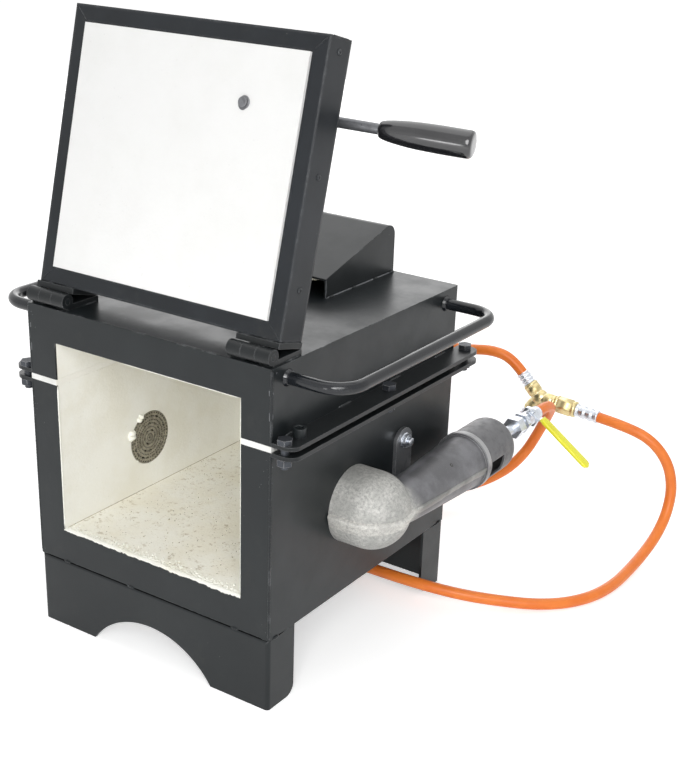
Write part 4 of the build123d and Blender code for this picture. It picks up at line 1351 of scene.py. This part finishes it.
@dataclass
class BrassWork:
    """The Y-piece with its collars and the grooved six-sided swivel nut."""

    brass: Material
    hoses: Hoses
    waist: float = 0.0082
    collar: float = 0.0093
    ball: float = 0.0112
    ball_depth: float = 0.86
    nut_af: float = 0.019

    def fluted(self, ring: int, angle: float) -> float:
        """Factor of a leg's radius, with faint flutes past its first two rings."""
        return 1.0 if ring < 2 else 1.0 - 0.022 * abs(math.sin(4 * angle))

    def six(self, ring: int, angle: float) -> float:
        """Factor of the nut's radius, six-sided with rounded corners between its round ends."""
        part = (angle % (math.pi / 3)) - math.pi / 6
        return min(1.0 / math.cos(part), 1.11) if 0 < ring < 9 else 1.0

    def tee(self) -> Piece:
        """Make the Y-piece.

        Returns:
            The piece.
        """
        bm = bmesh.new()
        centre = Vector(self.hoses.tee)
        made = bmesh.ops.create_uvsphere(bm, u_segments=36, v_segments=20, radius=self.ball)
        for v in made["verts"]:
            v.co = centre + Vector((v.co.x, v.co.y * self.ball_depth, v.co.z))
        length, w, c = self.hoses.tee_leg, self.waist, self.collar
        profile = [(0.002, w), (length * 0.34, w + 0.0002), (length * 0.40, c - 0.0005), (length * 0.43, c),
                   (length * 0.80, c), (length * 0.81, c - 0.0003), (length * 0.825, c - 0.0003),
                   (length * 0.835, c), (length - 0.0012, c), (length - 0.0003, c - 0.0009),
                   (length, c - 0.0016)]
        for leg in Leg:
            turned(bm, centre, leg.along(), profile, 48, self.fluted)
        return trim("brass_tee", bm, self.brass, Slot.BRASS, Body.FURNACE, "y_piece")

    def nut(self) -> Piece:
        """Make the swivel nut.

        Returns:
            The piece.
        """
        bm = bmesh.new()
        along = Leg.RIGHT.along()
        length, flat = self.hoses.swivel, self.nut_af / 2
        profile = [(0.0, flat - 0.0016), (0.0010, flat - 0.0002), (0.0030, flat), (0.0034, flat - 0.0009),
                   (0.0040, flat - 0.0009), (0.0044, flat), (0.0220, flat), (0.0224, flat - 0.0012),
                   (0.0232, flat - 0.0012), (0.0236, flat + 0.0004), (length - 0.0008, flat + 0.0004),
                   (length, flat - 0.0006)]
        turned(bm, Vector(self.hoses.tee) + along * self.hoses.tee_leg, along, profile, 72, self.six)
        return trim("brass_nut", bm, self.brass, Slot.BRASS, Body.FURNACE, "swivel_nut")

    def build(self) -> list[Piece]:
        """Make the Y-piece and the swivel nut."""
        return [self.tee(), self.nut()]


@dataclass
class ChamberLitter:
    """Torn fibre, crumbs, the hearth's frayed edge, and the boards' cut edges and joints."""

    fibre: Material
    crumb: Material
    wall_x: float = -0.1158
    mouth: Pair = (0.1348, 0.1748)
    mouth_r: float = 0.030
    torn: tuple[tuple[float, float, int, float], ...] = (
        (-2.10, 0.10, 7, 0.0038), (-2.78, 0.12, 12, 0.0054), (0.6, 0.4, 4, 0.0018), (1.9, 0.5, 4, 0.0016),
    )
    hearth_z: float = 0.1159
    grain_x: float = 0.1135
    fluff: int = 520
    fluff_r: Pair = (0.0006, 0.0016)
    fluff_front: Pair = (0.0026, 0.0055)
    grains: int = 150
    grain_r: Pair = (0.0004, 0.0009)
    grain_y: Pair = (0.004, 0.24)
    rim_x: float = 0.1158
    rim_top: float = 0.3208
    rim_left_top: float = 0.275
    rim_top_start: float = -0.03
    rim_r: float = 0.0009
    rim_left_r: float = 0.0008
    rim_pitch: float = 0.006
    fray_steps: int = 210
    fray_drop: Pair = (0.0012, 0.0028)
    joint_r: float = 0.00040
    joint_pitch: float = 0.005
    chamber_d: float = 0.2940

    def flake(self, bm: Mesh, centre: Vector, size: float, rng: random.Random, cuts: int = 2) -> None:
        """Add one rough lump.

        Args:
            bm: the mesh.
            centre: its middle.
            size: its mean radius.
            rng: seeded random numbers.
            cuts: how finely it is divided.
        """
        made = bmesh.ops.create_icosphere(bm, subdivisions=cuts, radius=size)
        stretch = Vector((rng.uniform(0.5, 1.2), rng.uniform(0.6, 1.3), rng.uniform(0.5, 1.1)))
        for v in made["verts"]:
            v.co = centre + Vector(tuple(c * k * rng.uniform(0.78, 1.15) for c, k in zip(v.co, stretch)))

    def tufts(self) -> None:
        """Ragged flakes that stand off the wall beside the left burner's mouth."""
        rng = random.Random(41)
        bm = bmesh.new()
        for angle_at, spread, count, size in self.torn:
            for _ in range(count):
                angle = angle_at + rng.uniform(-spread, spread)
                reach = self.mouth_r + rng.uniform(-0.0005, size)
                centre = Vector((self.wall_x + rng.uniform(0.0, size * 0.7),
                                 FRONT_Y + self.mouth[0] + math.cos(angle) * reach,
                                 self.mouth[1] - math.sin(angle) * reach))
                self.flake(bm, centre, rng.uniform(0.4, 0.8) * size, rng)
        trim("torn_fibre", bm, self.fibre, Slot.LINING)

    def grain(self, bm: Mesh, y: float, size: float, lift: float, rng: random.Random) -> None:
        """Drop one grain on the hearth at a depth y, lifted by a share of its size."""
        x = rng.uniform(-self.grain_x, self.grain_x)
        self.flake(bm, Vector((x, y, self.hearth_z + size * lift)), size, rng, 1)

    def crumbs(self) -> None:
        """Loose grains: pale ones along the hearth's front edge, brown ones all over it."""
        rng = random.Random(42)
        bm = bmesh.new()
        for _ in range(self.fluff):
            y = FRONT_Y + self.fluff_front[0] + abs(rng.gauss(0.0, self.fluff_front[1]))
            self.grain(bm, y, rng.uniform(*self.fluff_r), 0.2, rng)
        trim("hearth_fluff", bm, self.fibre, Slot.LINING)
        bm = bmesh.new()
        for _ in range(self.grains):
            y = FRONT_Y + rng.uniform(*self.grain_y)
            self.grain(bm, y, rng.uniform(*self.grain_r), 0.3, rng)
        trim("hearth_crumbs", bm, self.crumb, Slot.LINING)

    def frayed_edge(self) -> None:
        """Ragged fibre of the hearth that hangs over the front frame's lower edge."""
        rng = random.Random(43)
        bm = bmesh.new()
        rows = []
        least, most = self.fray_drop
        drop, top = 0.0020, self.hearth_z
        for i in range(self.fray_steps + 1):
            x = -self.rim_x + 2 * self.rim_x * i / self.fray_steps
            drop = min(most, max(least, drop + rng.uniform(-0.0008, 0.0008)))
            hang = drop * (0.55 + 0.40 * i / self.fray_steps) + rng.uniform(-0.0004, 0.0004)
            crest = top + rng.uniform(0.0004, 0.0012)
            rows.append([bm.verts.new((x + rng.uniform(-0.0002, 0.0002), FRONT_Y + y, z)) for y, z in (
                (0.0060, top + 0.0001), (0.0035, crest), (-0.0002, crest - 0.0003),
                (-rng.uniform(0.0002, 0.0003), top - 0.5 * hang), (-0.0002, top - hang),
                (0.0003, top - hang + 0.0003))])
        skin(bm, rows, closed=False)
        trim("frayed_edge", bm, self.fibre, Slot.LINING)

    def rims(self) -> None:
        """Cut edges of the boards inside the front frame's opening, and the joints of the hearth."""
        rng = random.Random(44)
        bm = bmesh.new()
        y, r, pitch = FRONT_Y + 0.0009, self.rim_r, self.rim_pitch
        x, low, high = self.rim_x - 0.0003, self.hearth_z + 0.0005, self.rim_top - 0.0002
        bead(bm, (x, y, low), (x, y, high), r, rng, pitch)
        bead(bm, (-x, y, low), (-x, y, self.rim_left_top), self.rim_left_r, rng, pitch)
        bead(bm, (self.rim_top_start, y, high), (x, y, high), r, rng, pitch)
        trim("lining_rims", bm, self.fibre, Slot.LINING)
        bm = bmesh.new()
        near, far, r, pitch = FRONT_Y + 0.004, FRONT_Y + self.chamber_d, self.joint_r, self.joint_pitch
        z = self.hearth_z + 0.0001
        for x in (-self.rim_x, self.rim_x):
            bead(bm, (x, near, z), (x, far, z), r, rng, pitch)
        bead(bm, (-self.rim_x, far, z), (self.rim_x, far, z), r, rng, pitch)
        trim("lining_joints", bm, self.crumb, Slot.LINING)

    def build(self) -> None:
        """Make all of it."""
        for step in (self.tufts, self.crumbs, self.frayed_edge, self.rims):
            step()


@dataclass
class LeverSleeves:
    """Dipped vinyl sleeves of the valve levers, plump with round edges."""

    vinyl: Material
    roll: float = math.radians(35.0)
    valve_y: float = 0.440
    start: float = 0.013
    end: float = 0.0895
    low: float = 0.0142
    thick: float = 0.0052
    wide: float = 0.0128
    steps: int = 28
    sides: int = 24

    def section(self, t: float) -> list[Point]:
        """One ring of the sleeve.

        Args:
            t: its share of the sleeve's length.

        Returns:
            How far each of its points is along, across and up from the lever's middle.
        """
        reach, half = self.start + (self.end - self.start) * t, self.wide / 2
        nose = math.sqrt(max(0.0, 1 - max(0.0, (reach - self.end + half) / half) ** 2))
        lip = 1.0 if t > 0.04 else 0.90
        across = half * (0.93 + 0.07 * t) * max(nose, 0.03) * lip
        up = self.thick / 2 * max(nose, 0.12) ** 0.5 * lip
        points = []
        for k in range(self.sides):
            angle = 2 * math.pi * k / self.sides
            c, s = math.cos(angle), math.sin(angle)
            u, v = math.copysign(abs(c) ** 0.45, c) * across, math.copysign(abs(s) ** 0.60, s) * up
            points.append((reach, u, v))
        return points

    def build(self) -> None:
        """Make both sleeves."""
        across = Vector((0, 1, 0))
        for (side, name), body in zip(SIDES, (Body.LEVER_RIGHT, Body.LEVER_LEFT)):
            up = Vector((side * math.sin(self.roll), 0, math.cos(self.roll)))
            along = Vector((side * math.cos(self.roll), 0, -math.sin(self.roll)))
            valve = Vector((side * TUBE_X, FRONT_Y + self.valve_y, TUBE_Z))
            origin = valve + up * (self.low + self.thick / 2)
            bm = bmesh.new()
            skin(bm, [[bm.verts.new(origin + along * reach + across * u + up * v)
                       for reach, u, v in self.section(i / self.steps)] for i in range(self.steps + 1)])
            trim(f"dipped_sleeve_{name}", bm, self.vinyl, Slot.YELLOW, body, f"lever_sleeve_{name}")


def slot_finishes() -> dict[Slot, Material]:
    """Make the finish of each material slot.

    Returns:
        The materials by slot.
    """
    looks = {
        Slot.PAINT: Paint(),
        Slot.LINING: Board("lining_cream", (0.92, 0.912, 0.852), (0.86, 0.84, 0.75), speck_share=0.12),
        Slot.DOOR_BOARD: Board("door_white", (0.87, 0.87, 0.86), (0.845, 0.845, 0.83), speck_share=0.06,
                               pit_depth=0.00025),
        Slot.GASKET: Board("gasket_white", (0.90, 0.90, 0.88), (0.70, 0.70, 0.66), speck_share=0.1,
                           inner_x=0.1166),
        Slot.IRON: Casting(),
        Slot.ZINC: Metal("zinc_plate", (0.66, 0.69, 0.74), (0.40, 0.42, 0.44), 0.28),
        Slot.BRASS: Metal("brass_body", (0.69, 0.58, 0.31), (0.40, 0.32, 0.14), 0.32),
        Slot.RUBBER: Polymer("orange_rubber", (0.96, 0.250, 0.037), (0.90, 0.205, 0.028), 0.40,
                             skin=0.00005),
        Slot.YELLOW: Polymer("yellow_dip", (0.95, 0.92, 0.03), (0.90, 0.84, 0.02), 0.24, 0.3),
        Slot.GRIP: Polymer("black_grip", (0.010, 0.010, 0.012), (0.016, 0.016, 0.018), 0.16, 1.0, 0.00001),
        Slot.BOLT: Metal("dark_bolt", (0.055, 0.06, 0.07), (0.02, 0.02, 0.02), 0.42, 0.6),
    }
    return {slot: look.build() for slot, look in looks.items()}


def own_finishes() -> dict[str, Material]:
    """Make the finishes that differ from their slot's.

    Returns:
        The materials by name.
    """
    looks = (
        # Door frame paint: its steady edge lightening is a painted highlight along the rounded edges, partly
        # wear.
        Paint("door_paint", (0.0085, 0.0108, 0.0135), (0.0160, 0.0190, 0.0235), sheen=0.33, edge_r=0.0034,
              wear=0.42, even_wear_and_highlight=0.45),
        Paint("strip_paint", (0.0090, 0.0108, 0.0118), (0.0140, 0.0160, 0.0170), bare=(0.15, 0.155, 0.16),
              wear=0.75, even_wear_and_highlight=0.42, edge_r=0.0007),
        # Light dressed steel for the grinder patches on the corners, also used for the painted highlight on
        # the hood's edges.
        Paint("ground_seam_and_highlight", (0.060, 0.066, 0.074), (0.125, 0.132, 0.142), roughness=0.28, sheen=0.6,
              wear=0.8, even_wear_and_highlight=0.5),
        # Near-black paint for the painted shadow in the gaps over the feet.
        Paint("painted_gap_shade", (0.0010, 0.0012, 0.0014), (0.0016, 0.0018, 0.0020), bare=(0.006, 0.006, 0.006),
              roughness=0.8, sheen=0.03, wear=0.1),
        Paint("bar_paint", (0.0075, 0.0090, 0.0115), (0.0130, 0.0150, 0.0185), roughness=0.15, sheen=0.48,
              wear=0.2),
        Board("hearth_speckled", (0.97, 0.955, 0.88), (0.92, 0.885, 0.77), speck=(0.30, 0.26, 0.18),
              speck_share=0.50, flecks=0.62, fleck=(0.46, 0.39, 0.26)),
        Metal("bell_iron", (0.17, 0.17, 0.175), (0.11, 0.11, 0.115), 0.46, 0.5, 0.00004),
        Metal("bracket_steel", (0.20, 0.205, 0.215), (0.10, 0.10, 0.105), 0.42, 0.7, 0.00004),
        Metal("rod_steel", (0.17, 0.175, 0.185), (0.08, 0.08, 0.085), 0.32, 0.5, 0.00003),
        Board("crumb", (0.50, 0.44, 0.30), (0.24, 0.20, 0.14), speck_share=0.8),
        Board("fibre_bright", (0.97, 0.965, 0.90), (0.88, 0.865, 0.76), speck_share=0.0),
        RingedIron(),
        # Near-black for the tube pits: painted shade in the hollows.
        Metal("pit_shade", (0.05, 0.045, 0.04), (0.03, 0.03, 0.03), 0.7, 0.2),
        # A lighter copy of the casting's finish for the parting ridges: a painted highlight where they catch
        # light.
        Casting("cast_ridge_highlight", head=(0.80, 0.79, 0.74), head_dark=(0.45, 0.44, 0.42), tube=(0.36, 0.355, 0.34),
                tube_dark=(0.20, 0.20, 0.19)),
    )
    return {look.name: look.build() for look in looks}


def dress(slots: dict[Slot, Material], own: dict[str, Material]) -> None:
    """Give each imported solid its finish.

    Args:
        slots: the materials by slot.
        own: the materials by name, for the solids that differ from their slot.
    """
    slot_of = {row["node"]: row["material_slot"] for row in frame["record"]["subparts"]}
    wears = {"hearth_slab": "hearth_speckled", "door_pan": "door_paint", "door_handle_rod": "rod_steel"}
    for _, side in SIDES:
        wears |= {f"air_bell_{side}": "bell_iron", f"burner_plate_{side}": "burner_disc",
                  f"burner_bracket_{side}": "bracket_steel", f"carry_handle_{side}": "bar_paint"}
        wears |= {f"{strip}_{side}": "strip_paint"
                  for strip in ("lower_flange", "upper_flange", "hinge_leaf", "hinge_base")}
    for name, piece in frame["nodes"].items():
        finish = own[wears[name]] if name in wears else slots[Slot(slot_of[name])]
        piece.data.materials.clear()
        piece.data.materials.append(finish)
        log.info("solid %s in %s", name, finish.name)


def main() -> None:
    """Build the furnace's looks in order."""
    logging.basicConfig(level=logging.INFO, format="%(message)s")
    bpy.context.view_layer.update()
    Studio().build()
    slots, own = slot_finishes(), own_finishes()
    dress(slots, own)
    hoses = Hoses(slots[Slot.RUBBER])
    fittings = BrassWork(slots[Slot.BRASS], hoses).build()
    rings = CrimpRings(slots[Slot.ZINC], hoses).build()
    hoses.build([*fittings, rings, frame["nodes"]["gas_connector"]])
    for part in (
        Joints(slots[Slot.PAINT], own["ground_seam_and_highlight"], own["painted_gap_shade"]),
        DoorTrim(own["door_paint"], own["bracket_steel"], slots[Slot.GRIP]),
        Fixings(slots[Slot.BOLT], slots[Slot.ZINC]),
        CastSeams(own["cast_ridge_highlight"], own["pit_shade"]),
        ChamberLitter(own["fibre_bright"], own["crumb"]),
        LeverSleeves(slots[Slot.YELLOW]),
    ):
        part.build()
        log.info("%s ready", type(part).__name__)


if __name__ == "__main__":
    main()
